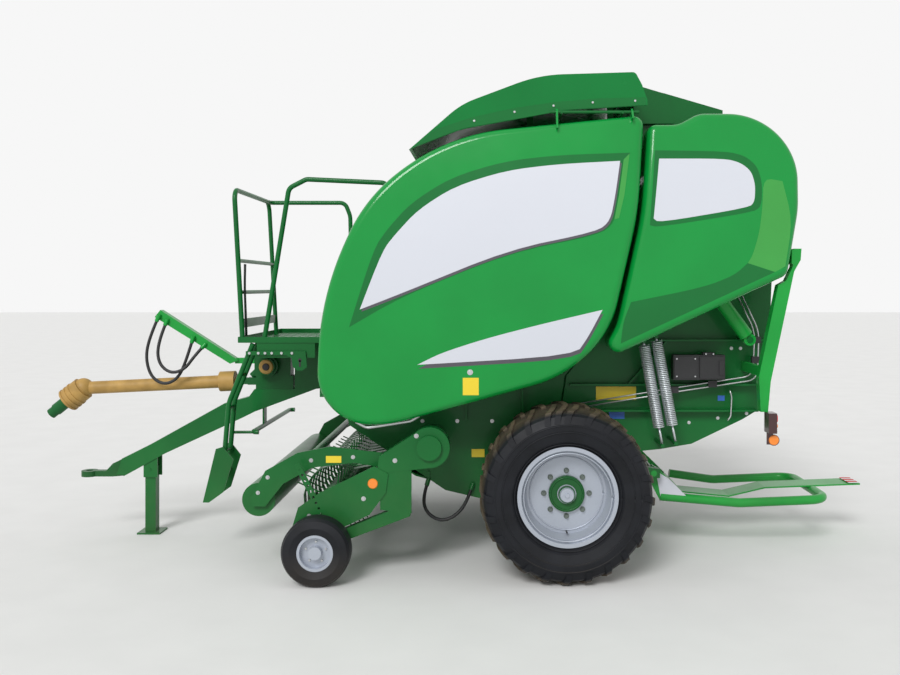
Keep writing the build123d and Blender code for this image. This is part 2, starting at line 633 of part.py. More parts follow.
with BuildPart() as pto_guard:
    block(SHAFT_JOINT_X - 66, SHAFT_JOINT_X + 18, -20, 20, SHAFT_JOINT_Z - 16, SHAFT_JOINT_Z + 16)
    disc(SHAFT_JOINT_X, SHAFT_JOINT_Z, 10 + PIN_PLAY, -21, 21, mode=Mode.SUBTRACT)
    rod((SHAFT_JOINT_X - 60, 0, SHAFT_JOINT_Z), (SHAFT_BEND[0], 0, SHAFT_BEND[1]), GUARD_R)
    rod((SHAFT_JOINT_X - 60, 0, SHAFT_JOINT_Z), (SHAFT_JOINT_X - 170, 0, SHAFT_JOINT_Z - 5), 72)
    with Locations(Location(at(SHAFT_BEND[0], 0, SHAFT_BEND[1]))):
        Sphere(72)
    rod((SHAFT_BEND[0], 0, SHAFT_BEND[1]), along_tip(147), 84)
    for ridge in (60, 95, 130):
        rod(along_tip(ridge), along_tip(ridge + 12), 89)
save(pto_guard.part, "pto_guard")

with BuildPart() as pto_yoke:
    rod(along_tip(147), along_tip(YOKE_END - 48), 44)
    rod(along_tip(YOKE_END - 48), along_tip(YOKE_END), YOKE_R)
    rod(along_tip(YOKE_END - YOKE_BORE_LENGTH), along_tip(YOKE_END + 1), YOKE_BORE_R, mode=Mode.SUBTRACT)
save(pto_yoke.part, "pto_yoke")

# Platform, handrails and ladder

DECK_FRONT_X = -2156
DECK_REAR_X = -1500
DECK_TOP = 1409
DECK_NEAR_Y = -520
DECK_FAR_Y = 780
RAIL_R = 16.5
STEP_X = -2248.5
STEP_Z = 670
with BuildPart() as platform_deck:
    block(DECK_FRONT_X, DECK_REAR_X, DECK_NEAR_Y, DECK_FAR_Y, 1400 + SEAT, DECK_TOP)
    for edge_low, edge_high in ((DECK_NEAR_Y, DECK_NEAR_Y + 3), (DECK_FAR_Y - 3, DECK_FAR_Y)):
        block(DECK_FRONT_X, DECK_REAR_X, edge_low, edge_high, 1400 + SEAT, 1440)
    block(DECK_FRONT_X, DECK_FRONT_X + 3, DECK_NEAR_Y, DECK_FAR_Y, 1400 + SEAT, 1440)
    block(-2030, -1640, DECK_NEAR_Y + 6, DECK_NEAR_Y + 12, 1300, 1401)
save(platform_deck.part, "platform_deck")

with BuildPart() as handrails:
    bent_tube([(-2129, -500, DECK_TOP + 1.3), (-2186, -500, 2433), (-2186, 500, 2433), (-2129, 500, DECK_TOP + 1.3)],
              RAIL_R, [80, 80])
    for bar_z in (1953, 1740):
        lean = -2129 - 57 * (bar_z - 1409) / 1024
        rod((lean, -500, bar_z), (lean, 500, bar_z), RAIL_R - 3)
    block(-2142, -2130, -500, 500, 1500, 1560)
    bent_tube([(-2186, 480, 2433), (-2186, 540, 2433), (-1600, 540, 2433), (-1560, 540, 2330),
               (-1540, 540, DECK_TOP + 1.3)], RAIL_R, [40, 60, 150])
    bent_tube([(-1984, -500, 1412.2), (-1817, -500, 2440), (-1700, -500, 2500), (-1150, -500, 2475),
               (-1120, -500, 2310)], RAIL_R, [60, 60, 60])
save(handrails.part, "handrails")

with BuildPart() as ladder:
    for rail_y in (-500, -360):
        bent_tube([(-2060, rail_y, 1393.9), (-2222, rail_y, 993), (-2251, rail_y, 640)], RAIL_R, [200])
    for rung_z, rung_x in ((1180, -2148), (960, -2226)):
        rod((rung_x, -500, rung_z), (rung_x, -360, rung_z), 12)
    bent_tube([(-2060, -340, 775), (-2100, -340, 775), (-2100, 860, 775), (-2060, 860, 775)], RAIL_R,
              [30, 30])
    rod((-2240, -350, 775), (-2100, -345, 775), 10)
    disc(STEP_X, STEP_Z, 10 + PIN_PLAY, -530, -330, mode=Mode.SUBTRACT)
save(ladder.part, "ladder")

with BuildPart() as step:
    for side_y in (-534, -342):
        low, high = sorted((side_y, side_y + 8))
        side_prism([(-2387, 332), (-2300, 690), (-2251, 705), (-2183, 618), (-2251, 400), (-2345, 332)],
                   low, high)
    for tread_x, tread_z in ((-2345, 350), (-2270, 520)):
        block(tread_x - 25, tread_x + 25, -526, -342, tread_z, tread_z + 16)
    disc(STEP_X, STEP_Z, 10, -534, -334)
save(step.part, "step")

with BuildPart() as hose_arm:
    with BuildSketch(side_plane(-10)):
        with BuildLine():
            Polyline((-2330, 1225), (-2270, 1250), (-2830, 1610), (-2870, 1560), close=True)
        make_face()
    extrude(amount=70)
    block(-2300, -2160 - SEAT, -60, -20, 1225, 1265)
    for route in (HOSE_LONG, HOSE_SHORT):
        coupler(route[0], route[1], -60)
        coupler(route[-1], route[-2], -60)
save(hose_arm.part, "hose_arm")

# Hydraulic hoses, parked in loops on their arm and hanging under the body

def hose(points, name):
    """Free hose: straight runs joined by arcs as large as the runs allow."""
    places = [at(*point) for point in points]
    radii = []
    for index in range(1, len(places) - 1):
        before, after = places[index] - places[index - 1], places[index + 1] - places[index]
        half_turn = math.radians(before.get_angle(after)) / 2
        radii.append(0.45 * min(before.length, after.length) / math.tan(half_turn))
    with BuildPart() as made:
        with BuildLine() as route:
            FilletPolyline(*places, radius=radii)
        path = route.wire()
        with BuildSketch(Plane(origin=path @ 0, z_dir=path % 0)) as section:
            Circle(HOSE_R)
        sweep(section.sketch, path=path)
    print(name, "radii", [round(radius) for radius in radii], "length", round(path.length),
          "volume share", round(made.part.volume / (math.pi * HOSE_R**2 * path.length), 4))
    save(made.part, name)


hose(HOSE_LONG, "hose_long")
hose(HOSE_SHORT, "hose_short")
hose(HOSE_UNDER, "hose_under")

# Tailgate: posts, lamps, springs, lift cylinders

# Beams across the tailgate: x, z, height, and whether they reach out to the posts
REAR_BEAMS = [(1290, 1215, 90, False), (1195, 1225, 60, True), (1385, 1915, 90, True),
              (1270, 2560, 80, False)]
with BuildPart() as rear_frame:
    for side in (-1, 1):
        low, high = sorted((side * 1080, side * 1010))
        side_prism([(1257, 1196), (1240, 1010), (1195, 1010), (1185, 1227), (1303, 1787),
                    (1352, 1815), (1392, 1900), (1400, 2010), (1445, 2010), (1440, 1941),
                    (1400, 1870)], low, high)
    for beam_x, beam_z, beam_high, reaches_out in REAR_BEAMS:
        if reaches_out:
            for side in (-1, 1):
                low, high = sorted((side * 1080, side * (WALL_IN_Y + WALL_T + SEAT)))
                block(beam_x, beam_x + 30, low, high, beam_z, beam_z + beam_high)
        else:
            block(beam_x, beam_x + 30, -WALL_IN_Y + SEAT, WALL_IN_Y - SEAT, beam_z, beam_z + beam_high)
save(rear_frame.part, "rear_frame")

with BuildPart() as tail_lamps:
    for side in (-1, 1):
        low, high = sorted((side * 1150, side * 1050))
        block(1225, 1275, low, high, 887, 1010 - SEAT)
        low, high = sorted((side * 1110, side * 1098))
        disc(1267, 842, 34, low, high)
        block(1225, 1262, low, high, 815, 888)
save(tail_lamps.part, "tail_lamps")

with BuildPart() as tailgate_springs:
    for side in (-1, 1):
        spring_y = -side * SPRING_Y
        for top_x, top_z, foot_x, foot_z in SPRING_PINS:
            run_x, run_z = foot_x - top_x, foot_z - top_z
            length = math.hypot(run_x, run_z)
            start = 12 + SEAT
            coil_end = length - 120
            places = [(top_x + run_x * way / length, spring_y, top_z + run_z * way / length)
                      for way in (start, coil_end, length - start)]
            rod(places[0], places[1], 37)
            rod(places[1], places[2], 8)
save(tailgate_springs.part, "tailgate_springs")

BARREL_R = 45
ROD_R = 25
CYLINDER_PIN_R = 20
BARREL_LENGTH = 770
cylinder_run = (ROD_EYE[0] - BARREL_FOOT[0], ROD_EYE[1] - BARREL_FOOT[1])
cylinder_length = math.hypot(*cylinder_run)


def along_cylinder(way):
    """Point on the cylinder's axis, counted from its foot pin."""
    share = way / cylinder_length
    return (BARREL_FOOT[0] + cylinder_run[0] * share, CYLINDER_Y, BARREL_FOOT[1] + cylinder_run[1] * share)


with BuildPart() as barrel:
    rod(along_cylinder(30), along_cylinder(BARREL_LENGTH), BARREL_R)
    disc(*BARREL_FOOT, 38, CYLINDER_Y - EYE_HALF, CYLINDER_Y + EYE_HALF)
    disc(*BARREL_FOOT, CYLINDER_PIN_R + PIN_PLAY, CYLINDER_Y - 46, CYLINDER_Y + 46, mode=Mode.SUBTRACT)
    rod(along_cylinder(120), along_cylinder(BARREL_LENGTH + 1), ROD_R + PIN_PLAY, mode=Mode.SUBTRACT)
both_sides(barrel.part, "cylinder_barrel")
with BuildPart() as piston_rod:
    rod(along_cylinder(130), along_cylinder(cylinder_length - 30), ROD_R)
    disc(*ROD_EYE, 38, CYLINDER_Y - EYE_HALF, CYLINDER_Y + EYE_HALF)
    disc(*ROD_EYE, CYLINDER_PIN_R, CYLINDER_Y - 32, CYLINDER_Y - EYE_HALF)
both_sides(piston_rod.part, "cylinder_rod")

with BuildPart() as oil_box:
    block(718, 1050, -780, -690, 1177, 1336)
    block(780, 1000, -690, -WALL_IN_Y - WALL_T - SEAT, 1200, 1300)
save(oil_box.part, "valve_box")

# Pickup

with BuildPart() as pickup_frame:
    rod((-1080, -1105 + SEAT, 560), (-1080, 1105 - SEAT, 560), 45)
    for side in (-1, 1):
        low, high = sorted((side * 640, side * 628))
        disc(PICKUP_PIVOT_X, PICKUP_PIVOT_Z, 70, low, high)
        side_prism([(-880, 760), (-800, 740), (-1040, 520), (-1110, 560)], low, high)
    # Bands round the reel, between its tines, from the cross tube over the front and under
    band_line = [(-1110, 585), (-1150, 655)] + [
        (REEL_X + BAND_R * math.cos(math.radians(turn)), REEL_Z + BAND_R * math.sin(math.radians(turn)))
        for turn in range(60, 251, 19)]
    band_outline = thick_line(band_line, BAND_T)
    for place in range(1, TINES_PER_BAR):
        middle = -REEL_HALF + place * TINE_PITCH
        side_prism(band_outline, middle - BAND_WIDTH / 2, middle + BAND_WIDTH / 2)
save(pickup_frame.part, "pickup_frame")

with BuildPart() as pickup_side:
    # Lower shield
    side_prism([(-1664, 314), (-1628, 435), (-1497, 525), (-1165, 687), (-1080, 640), (-1095, 525),
                (-1191, 395), (-1356, 314)], -SHIELD_OUT_Y, -1124)
    # Chain case
    disc(PICKUP_PIVOT_X, PICKUP_PIVOT_Z, 124, -1124, -1040)
    disc(PICKUP_PIVOT_X, PICKUP_PIVOT_Z, 75, -1150, -1124)
    side_prism([(-870, 916), (-1136, 745), (-1150, 640), (-800, 678)], -1124, -1040)
    disc(PICKUP_PIVOT_X, PICKUP_PIVOT_Z, 50, -1040, -640 - SEAT)
    disc(PRESS_PIVOT_X, PRESS_PIVOT_Z, 15, -1040, -1016)
    # Lower arm to the gauge wheel
    side_prism([(-1540, 180), (-1500, 240), (-948, 465), (-948, 381), (-1356, 228)], -1122, -1060)
    side_prism([(-1130, 420), (-940, 400), (-940, 700), (-1130, 640)], -1122, -1105)
    disc(GAUGE_X, GAUGE_R, GAUGE_AXLE_R, -1300, -1090)
    disc(REEL_X, REEL_Z, 60, -1124, -1000)
    disc(REEL_X, REEL_Z, 25, -1000, -900)
    side_prism([(-1652, 690), (-1620, 708), (-1452, 373), (-1484, 355)], -1124, -1118)
    for hole in range(STRIP_HOLES):
        share = (hole + 1) / (STRIP_HOLES + 1)
        disc(-1636 + 168 * share, 699 - 335 * share, 8, -SHIELD_OUT_Y - 1, -1117, mode=Mode.SUBTRACT)
both_sides(pickup_side.part, "pickup_side")

with BuildPart() as gauge_tyre:
    with BuildSketch(Plane(origin=(AXLE_X + GAUGE_X, -1320 + GAUGE_WIDTH / 2, GAUGE_R), x_dir=(0, 1, 0),
                           z_dir=(1, 0, 0))):
        with BuildLine():
            Polyline((-70, 108.3), (-82.5, 150), (-74, 190), (-50, 204), (0, 205), (50, 204), (74, 190),
                     (82.5, 150), (70, 108.3), close=True)
        make_face()
    revolve(axis=Axis((AXLE_X + GAUGE_X, 0, GAUGE_R), (0, 1, 0)))
both_sides(gauge_tyre.part, "gauge_tyre")
with BuildPart() as gauge_rim:
    disc(GAUGE_X, GAUGE_R, GAUGE_RIM_R, -1305, -1170)
    disc(GAUGE_X, GAUGE_R, 92, -1306, -1262, mode=Mode.SUBTRACT)
    disc(GAUGE_X, GAUGE_R, 92, -1230, -1169, mode=Mode.SUBTRACT)
    disc(GAUGE_X, GAUGE_R, 38, -1308, -1165)
    disc(GAUGE_X, GAUGE_R, GAUGE_AXLE_R + PIN_PLAY, -1301, -1160, mode=Mode.SUBTRACT)
both_sides(gauge_rim.part, "gauge_rim")

with BuildPart() as pickup_reel:
    disc(REEL_X, REEL_Z, 90, -REEL_HALF, REEL_HALF)
    for place in range(TINES_PER_BAR):
        tine_y = -REEL_HALF + (place + 0.5) * TINE_PITCH
        with BuildSketch(side_plane(tine_y + 4)) as tines:
            with Locations((REEL_X, REEL_Z)):
                with PolarLocations(0, TINE_BARS, start_angle=12):
                    with Locations(((60 + TINE_TIP_R) / 2, 0)):
                        Rectangle(TINE_TIP_R - 60, 8)
        extrude(tines.sketch, amount=8, dir=(0, -1, 0))
    disc(REEL_X, REEL_Z, 25 + PIN_PLAY, -1000, 1000, mode=Mode.SUBTRACT)
save(pickup_reel.part, "pickup_reel")

with BuildPart() as press_frame:
    for side in (-1, 1):
        low, high = sorted((side * 1032, side * 1020))
        side_prism([(-1940, 470), (-1850, 640), (-1651, 751), (-1450, 790), (-1080, 745), (-1040, 700),
                    (-1080, 655), (-1300, 690), (-1560, 660), (-1740, 560), (-1850, 420), (-1930, 420)],
                   low, high)
    rod((-1560, -1020, 735), (-1560, 1020, 735), 24)
    disc(PRESS_X, PRESS_Z, 20, -1020, 1020)
    disc(PRESS_PIVOT_X, PRESS_PIVOT_Z, 15 + PIN_PLAY, -1033, 1033, mode=Mode.SUBTRACT)
save(press_frame.part, "press_frame")

with BuildPart() as press_roller:
    disc(PRESS_X, PRESS_Z, PRESS_R, -1000, 1000)
    disc(PRESS_X, PRESS_Z, 20 + PIN_PLAY, -1000, 1000, mode=Mode.SUBTRACT)
save(press_roller.part, "press_roller")

# Kicker

with BuildPart() as kicker:
    near = [(697, -KICKER_HALF, 347), (1237, -KICKER_HALF, 300), (1840, -KICKER_HALF, 325),
            (1840, KICKER_HALF, 325), (1237, KICKER_HALF, 300), (906, KICKER_HALF, 347),
            (697, KICKER_HALF, 347)]
    bent_tube(near[:6], KICKER_TUBE_R, [300, 120, 120, 300])
    for side in (-1, 1):
        low, high = sorted((side * 420, side * 380))
        side_prism([(640, 560), (680, 540), (870, 350), (850, 310), (690, 330), (600, 500)], low, high)
    bent_tube([(840, -380, 330), (860, -100, 330), (860, 380, 330)], KICKER_TUBE_R - 6, [60])
    side_prism(thick_line([(850, 322), (1240, 284), (1500, 345), (2088, 368), (REAR_REACH, 371)], 10),
               -100, 100)
    disc(KICKER_X, KICKER_Z, 20, -500, 500)
save(kicker.part, "kicker")
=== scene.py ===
"""Looks of the towed round baler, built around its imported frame.

Tables hold millimetres, with X counted from the wheels' axle, +X to the rear. The machine's left side
is -Y and faces the camera. Blender itself works in metres.
"""
import json
import math

import bmesh
import bpy
from mathutils import Matrix, Vector


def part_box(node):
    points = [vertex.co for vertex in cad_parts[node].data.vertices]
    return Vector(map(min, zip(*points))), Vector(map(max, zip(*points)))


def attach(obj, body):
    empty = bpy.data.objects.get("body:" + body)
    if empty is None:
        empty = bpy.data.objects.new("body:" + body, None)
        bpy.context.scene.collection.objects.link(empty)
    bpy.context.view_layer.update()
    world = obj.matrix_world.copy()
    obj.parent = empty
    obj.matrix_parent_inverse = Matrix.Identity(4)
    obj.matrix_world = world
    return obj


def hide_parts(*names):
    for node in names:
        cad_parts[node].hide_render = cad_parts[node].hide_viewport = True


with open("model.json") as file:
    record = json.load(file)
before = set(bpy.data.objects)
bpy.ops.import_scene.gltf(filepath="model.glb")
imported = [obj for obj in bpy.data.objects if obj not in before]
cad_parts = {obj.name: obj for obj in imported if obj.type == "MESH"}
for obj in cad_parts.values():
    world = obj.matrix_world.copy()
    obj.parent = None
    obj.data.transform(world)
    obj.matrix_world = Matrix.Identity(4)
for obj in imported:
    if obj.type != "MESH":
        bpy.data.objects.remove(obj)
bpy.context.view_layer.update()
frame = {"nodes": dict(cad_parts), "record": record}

low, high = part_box("hub_left")
AXLE_X = (low.x + high.x) / 2 * 1000
AXLE_Z = 528
SIDES = (("left", -1), ("right", 1))

# Crowned faces of the side panels: their radius, its middle height and their outermost places
CROWN_R = 5200
CROWN_Z = 1750
HOOD_OUT_Y = 1200
REAR_PANEL_OUT_Y = 1150
# Outer faces of the chamber's walls, the pickup's shields, the press arms and the main wheels' discs
WALL_OUT_Y = 620
SHIELD_OUT_Y = 1130
PRESS_ARM_OUT_Y = 1032
DISC_Y = 1145


def metres(x, y, z):
    """Point of the frame from millimetres, X counted from the axle."""
    return Vector(((AXLE_X + x) / 1000, y / 1000, z / 1000))


# Materials

COAT_ROUGH = 0.08
GRAIN_HEIGHT = 0.002
# Values of the broad noise between which the colour turns from its dark to its light tone
MOTTLE_FROM = 0.35
MOTTLE_TO = 0.68
# How far a finish gets glossier and duller than its roughness says
GLOSSIER = 0.06
DULLER = 0.08
DUST = (0.30, 0.23, 0.14, 1)
DUST_SCALE = 9.0
# Metres from the axle between which a main tyre's dust sets in
DUSTY_RIM_FROM = 0.495
DUSTY_RIM_TO = 0.526


def finish(name, colour, rough, metal=0.0, coat=0.0, mottle=0.10, mottle_scale=2.5, bump=0.05,
           bump_scale=90.0, dust=0.0, dust_top=0.9, dusty_rim=False, specular=0.5):
    """Painted, rubber or metal surface: mottled colour, uneven gloss, fine bumps, dust low down.

    With dusty_rim the dust lies on the main wheels' tread instead.
    """
    material = bpy.data.materials.new(name)
    material.use_nodes = True
    tree = material.node_tree
    shader = tree.nodes["Principled BSDF"]
    shader.inputs["Specular IOR Level"].default_value = specular
    shader.inputs["Metallic"].default_value = metal
    shader.inputs["Coat Weight"].default_value = coat
    shader.inputs["Coat Roughness"].default_value = COAT_ROUGH
    place = tree.nodes.new("ShaderNodeTexCoord")

    def noise(scale, detail):
        made = tree.nodes.new("ShaderNodeTexNoise")
        made.inputs["Scale"].default_value = scale
        made.inputs["Detail"].default_value = detail
        tree.links.new(place.outputs["Object"], made.inputs["Vector"])
        return made.outputs["Fac"]

    ramp = tree.nodes.new("ShaderNodeValToRGB")
    dark, light = ramp.color_ramp.elements
    dark.position, light.position = MOTTLE_FROM, MOTTLE_TO
    dark.color = [channel * (1 - mottle) for channel in colour] + [1]
    light.color = [min(channel * (1 + mottle), 1) for channel in colour] + [1]
    tree.links.new(noise(mottle_scale, 3.0), ramp.inputs["Fac"])
    colour_out = ramp.outputs["Color"]
    if dust > 0:
        parts = tree.nodes.new("ShaderNodeSeparateXYZ")
        tree.links.new(place.outputs["Object"], parts.inputs["Vector"])
        fade = tree.nodes.new("ShaderNodeMapRange")
        fade.inputs["To Min"].default_value = 0.0
        fade.inputs["To Max"].default_value = dust
        if dusty_rim:
            reach = tree.nodes.new("ShaderNodeCombineXYZ")
            for axis, centre in (("X", AXLE_X / 1000), ("Z", AXLE_Z / 1000)):
                away = tree.nodes.new("ShaderNodeMath")
                away.operation = "SUBTRACT"
                away.inputs[1].default_value = centre
                tree.links.new(parts.outputs[axis], away.inputs[0])
                tree.links.new(away.outputs["Value"], reach.inputs[axis])
            radius = tree.nodes.new("ShaderNodeVectorMath")
            radius.operation = "LENGTH"
            tree.links.new(reach.outputs["Vector"], radius.inputs[0])
            fade.inputs["From Min"].default_value = DUSTY_RIM_FROM
            fade.inputs["From Max"].default_value = DUSTY_RIM_TO
            tree.links.new(radius.outputs["Value"], fade.inputs["Value"])
        else:
            fade.inputs["From Min"].default_value = dust_top
            fade.inputs["From Max"].default_value = 0.0
            tree.links.new(parts.outputs["Z"], fade.inputs["Value"])
        patch = tree.nodes.new("ShaderNodeMath")
        patch.operation = "MULTIPLY"
        tree.links.new(fade.outputs["Result"], patch.inputs[0])
        tree.links.new(noise(DUST_SCALE, 5.0), patch.inputs[1])
        mix = tree.nodes.new("ShaderNodeMixRGB")
        mix.inputs["Color2"].default_value = DUST
        tree.links.new(patch.outputs["Value"], mix.inputs["Fac"])
        tree.links.new(colour_out, mix.inputs["Color1"])
        colour_out = mix.outputs["Color"]
    tree.links.new(colour_out, shader.inputs["Base Color"])
    gloss = tree.nodes.new("ShaderNodeMapRange")
    gloss.inputs["To Min"].default_value = max(rough - GLOSSIER, 0.02)
    gloss.inputs["To Max"].default_value = min(rough + DULLER, 1.0)
    tree.links.new(noise(mottle_scale * 3, 4.0), gloss.inputs["Value"])
    tree.links.new(gloss.outputs["Result"], shader.inputs["Roughness"])
    grain = tree.nodes.new("ShaderNodeBump")
    grain.inputs["Strength"].default_value = bump
    grain.inputs["Distance"].default_value = GRAIN_HEIGHT
    tree.links.new(noise(bump_scale, 6.0), grain.inputs["Height"])
    tree.links.new(grain.outputs["Normal"], shader.inputs["Normal"])
    return material


PANEL = {"mottle": 0.05, "bump": 0.012}
# Name, colour, roughness, and what else differs from plain paint
LOOKS = [
    ("panel_green", (0.003, 0.270, 0.042), 0.20, {**PANEL, "coat": 0.35, "specular": 0.18}),
    # Darker copy of the panel green: painted shade in the recesses, below the rear fold and on the top
    # cover's band
    ("panel_painted_shade", (0.003, 0.150, 0.028), 0.22, {**PANEL, "coat": 0.3, "specular": 0.18}),
    # Lighter copy of the panel green: painted highlight on the recess's bevel and painted reflection of the
    # sky beside the rear fold
    ("panel_painted_light", (0.050, 0.330, 0.060), 0.22, {**PANEL, "coat": 0.3, "specular": 0.18}),
    ("frame_green", (0.004, 0.125, 0.024), 0.34, {"coat": 0.12, "dust": 0.14, "specular": 0.2}),
    ("bright_green", (0.008, 0.300, 0.040), 0.32, {"coat": 0.15, "dust": 0.10, "specular": 0.25}),
    ("hub_green", (0.006, 0.100, 0.022), 0.42, {"coat": 0.1, "bump": 0.15, "dust": 0.12, "specular": 0.2}),
    # Darker copy of the panel green: painted shade on the top cover
    ("cover_shaded_green", (0.003, 0.180, 0.034), 0.24, {**PANEL, "coat": 0.2, "specular": 0.15}),
    ("tyre", (0.009, 0.010, 0.013), 0.50, {"mottle": 0.25, "mottle_scale": 7, "bump": 0.20, "dust": 0.70,
                                           "dusty_rim": True, "specular": 0.22}),
    ("small_tyre", (0.010, 0.011, 0.014), 0.48, {"mottle": 0.2, "mottle_scale": 7, "bump": 0.2,
                                                 "dust": 0.12, "dust_top": 0.25, "specular": 0.24}),
    ("rim_silver", (0.42, 0.455, 0.52), 0.32, {"metal": 0.35, "mottle": 0.04}),
    ("zinc_dark", (0.16, 0.19, 0.17), 0.40, {"metal": 0.6, "mottle": 0.12, "bump_scale": 200}),
    ("steel", (0.56, 0.57, 0.58), 0.32, {"metal": 0.9, "mottle": 0.10, "bump_scale": 200}),
    ("galvanised", (0.62, 0.65, 0.68), 0.38, {"metal": 0.75, "mottle": 0.15, "mottle_scale": 14}),
    ("chrome_rod", (0.80, 0.81, 0.83), 0.10, {"metal": 1.0, "mottle": 0.02}),
    ("belt_rubber", (0.030, 0.030, 0.030), 0.75, {"bump": 0.45, "bump_scale": 160}),
    ("hose_black", (0.014, 0.014, 0.015), 0.48, {"bump": 0.30, "bump_scale": 400}),
    ("guard_yellow", (0.46, 0.26, 0.045), 0.55, {"mottle": 0.22, "mottle_scale": 9, "bump": 0.15,
                                                 "dust": 0.6, "dust_top": 3.0}),
    ("black_plastic", (0.018, 0.018, 0.020), 0.42, {"bump": 0.30, "bump_scale": 300}),
    ("lamp_plastic", (0.045, 0.012, 0.012), 0.30, {"coat": 0.4}),
    ("sign_red", (0.62, 0.006, 0.008), 0.60, {"mottle": 0.04, "specular": 0.1}),
    ("sign_white", (0.72, 0.72, 0.72), 0.60, {"mottle": 0.03, "specular": 0.1}),
    ("decal_white", (0.62, 0.64, 0.70), 0.34, {"coat": 0.15, "mottle": 0.01, "mottle_scale": 1.0,
                                               "bump": 0.008}),
    ("decal_grey", (0.070, 0.062, 0.080), 0.30, {"coat": 0.5, "mottle": 0.03}),
    ("sticker_yellow", (0.82, 0.62, 0.03), 0.40, {"mottle": 0.03}),
    ("sticker_blue", (0.03, 0.14, 0.55), 0.40, {"mottle": 0.03}),
    ("lens_amber", (0.90, 0.24, 0.01), 0.18, {"coat": 0.8, "mottle": 0.05}),
    ("lens_red", (0.62, 0.008, 0.010), 0.25, {"coat": 0.3, "mottle": 0.05, "specular": 0.3}),
    ("lens_white", (0.75, 0.75, 0.74), 0.18, {"coat": 0.8, "mottle": 0.03}),
]
FINISH = {name: finish(name, colour, rough, **extras) for name, colour, rough, extras in LOOKS}

# Nodes that don't look like the rest of their material slot; the top cover's darker green is painted shade
OWN_LOOK = {"gauge_tyre_left": "small_tyre", "gauge_tyre_right": "small_tyre", "top_cover": "cover_shaded_green"}
for row in frame["record"]["subparts"]:
    look = OWN_LOOK.get(row["node"], row["material_slot"])
    for material_slot in frame["nodes"][row["node"]].material_slots:
        material_slot.material = FINISH[look]


# Ways of making pieces

# How far a softened outline's corner is cut along each of its lines
CORNER_CUT = 0.22
# Height of the flat bands that a plate on a crowned face is cut into
BAND_H = 60
# Top radius of a bolt head against its foot
BOLT_TAPER = 0.88
# Most of a straight run that a pipe's bend takes
BEND_SHARE = 0.48


def settle(piece, look, body):
    """Links a piece, gives it its finish and lets it ride on its body."""
    bpy.context.scene.collection.objects.link(piece)
    piece.data.materials.append(FINISH[look])
    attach(piece, body)
    return piece


def from_bmesh(name, shape, look, body, smooth=False):
    """Piece from a bmesh in millimetres, X counted from the axle."""
    for vertex in shape.verts:
        vertex.co = metres(*vertex.co)
    bmesh.ops.recalc_face_normals(shape, faces=shape.faces)
    mesh = bpy.data.meshes.new(name)
    shape.to_mesh(mesh)
    shape.free()
    for polygon in mesh.polygons:
        polygon.use_smooth = smooth
    return settle(bpy.data.objects.new(name, mesh), look, body)


def softened(points, sharp=(), rounds=2):
    """Closed outline with its corners cut round, apart from the sharp ones."""
    marked = [(point, index in sharp) for index, point in enumerate(points)]
    for _ in range(rounds):
        cut = []
        for index, (point, is_sharp) in enumerate(marked):
            if is_sharp:
                cut.append((point, True))
                continue
            before = marked[index - 1][0]
            after = marked[(index + 1) % len(marked)][0]
            for other in (before, after):
                near = tuple((1 - CORNER_CUT) * a + CORNER_CUT * b for a, b in zip(point, other))
                cut.append((near, False))
        marked = cut
    return [point for point, is_sharp in marked]


def crown(height, out_y):
    """Distance of a crowned panel's face from the machine's middle, at one height."""
    return out_y - CROWN_R + math.sqrt(CROWN_R ** 2 - (height - CROWN_Z) ** 2)


def crowned_plates(name, outline, out_y, bodies, look, proud, thick=3.0):
    """Thin plate on the crowned face of the side panels, one on each side."""
    for side_name, side in SIDES:
        shape = bmesh.new()
        shape.faces.new([shape.verts.new((x, 0, z)) for x, z in outline])
        levels = [z for x, z in outline]
        level = min(levels) + BAND_H
        while level < max(levels):
            bmesh.ops.bisect_plane(shape, geom=shape.verts[:] + shape.edges[:] + shape.faces[:],
                                   plane_co=(0, 0, level), plane_no=(0, 0, 1))
            level += BAND_H
        for vertex in shape.verts:
            vertex.co.y = side * (crown(vertex.co.z, out_y) + proud)
        made = bmesh.ops.extrude_face_region(shape, geom=shape.faces[:], use_keep_orig=True)
        for part in made["geom"]:
            if isinstance(part, bmesh.types.BMVert):
                part.co.y -= side * thick
        from_bmesh(f"{name}_{side_name}", shape, look, bodies[side_name])


def plate(shape, near_points, far_points):
    """Adds a flat plate between two like outlines to a bmesh."""
    near = [shape.verts.new(point) for point in near_points]
    far = [shape.verts.new(point) for point in far_points]
    shape.faces.new(near)
    shape.faces.new(far[::-1])
    for index in range(len(near)):
        after = (index + 1) % len(near)
        shape.faces.new((near[index], near[after], far[after], far[index]))


def slab(shape, outline, y_near, y_far):
    """Adds a flat plate with a side view outline to a bmesh."""
    plate(shape, [(x, y_near, z) for x, z in outline], [(x, y_far, z) for x, z in outline])


def rectangle(x_low, x_high, z_low, z_high):
    """Outline of a rectangle."""
    return [(x_low, z_low), (x_high, z_low), (x_high, z_high), (x_low, z_high)]


def ring(shape, centre, axis, radius, depth, sides=6, top=None):
    """Adds a bolt head or a disc to a bmesh: a prism along an axis, its top a little smaller."""
    turn = Vector((0, 0, 1)).rotation_difference(Vector(axis)).to_matrix().to_4x4()
    place = Matrix.Translation(Vector(centre) + Vector(axis) * depth / 2) @ turn
    bmesh.ops.create_cone(shape, cap_ends=True, segments=sides, radius1=radius,
                          radius2=radius * BOLT_TAPER if top is None else top, depth=depth, matrix=place)


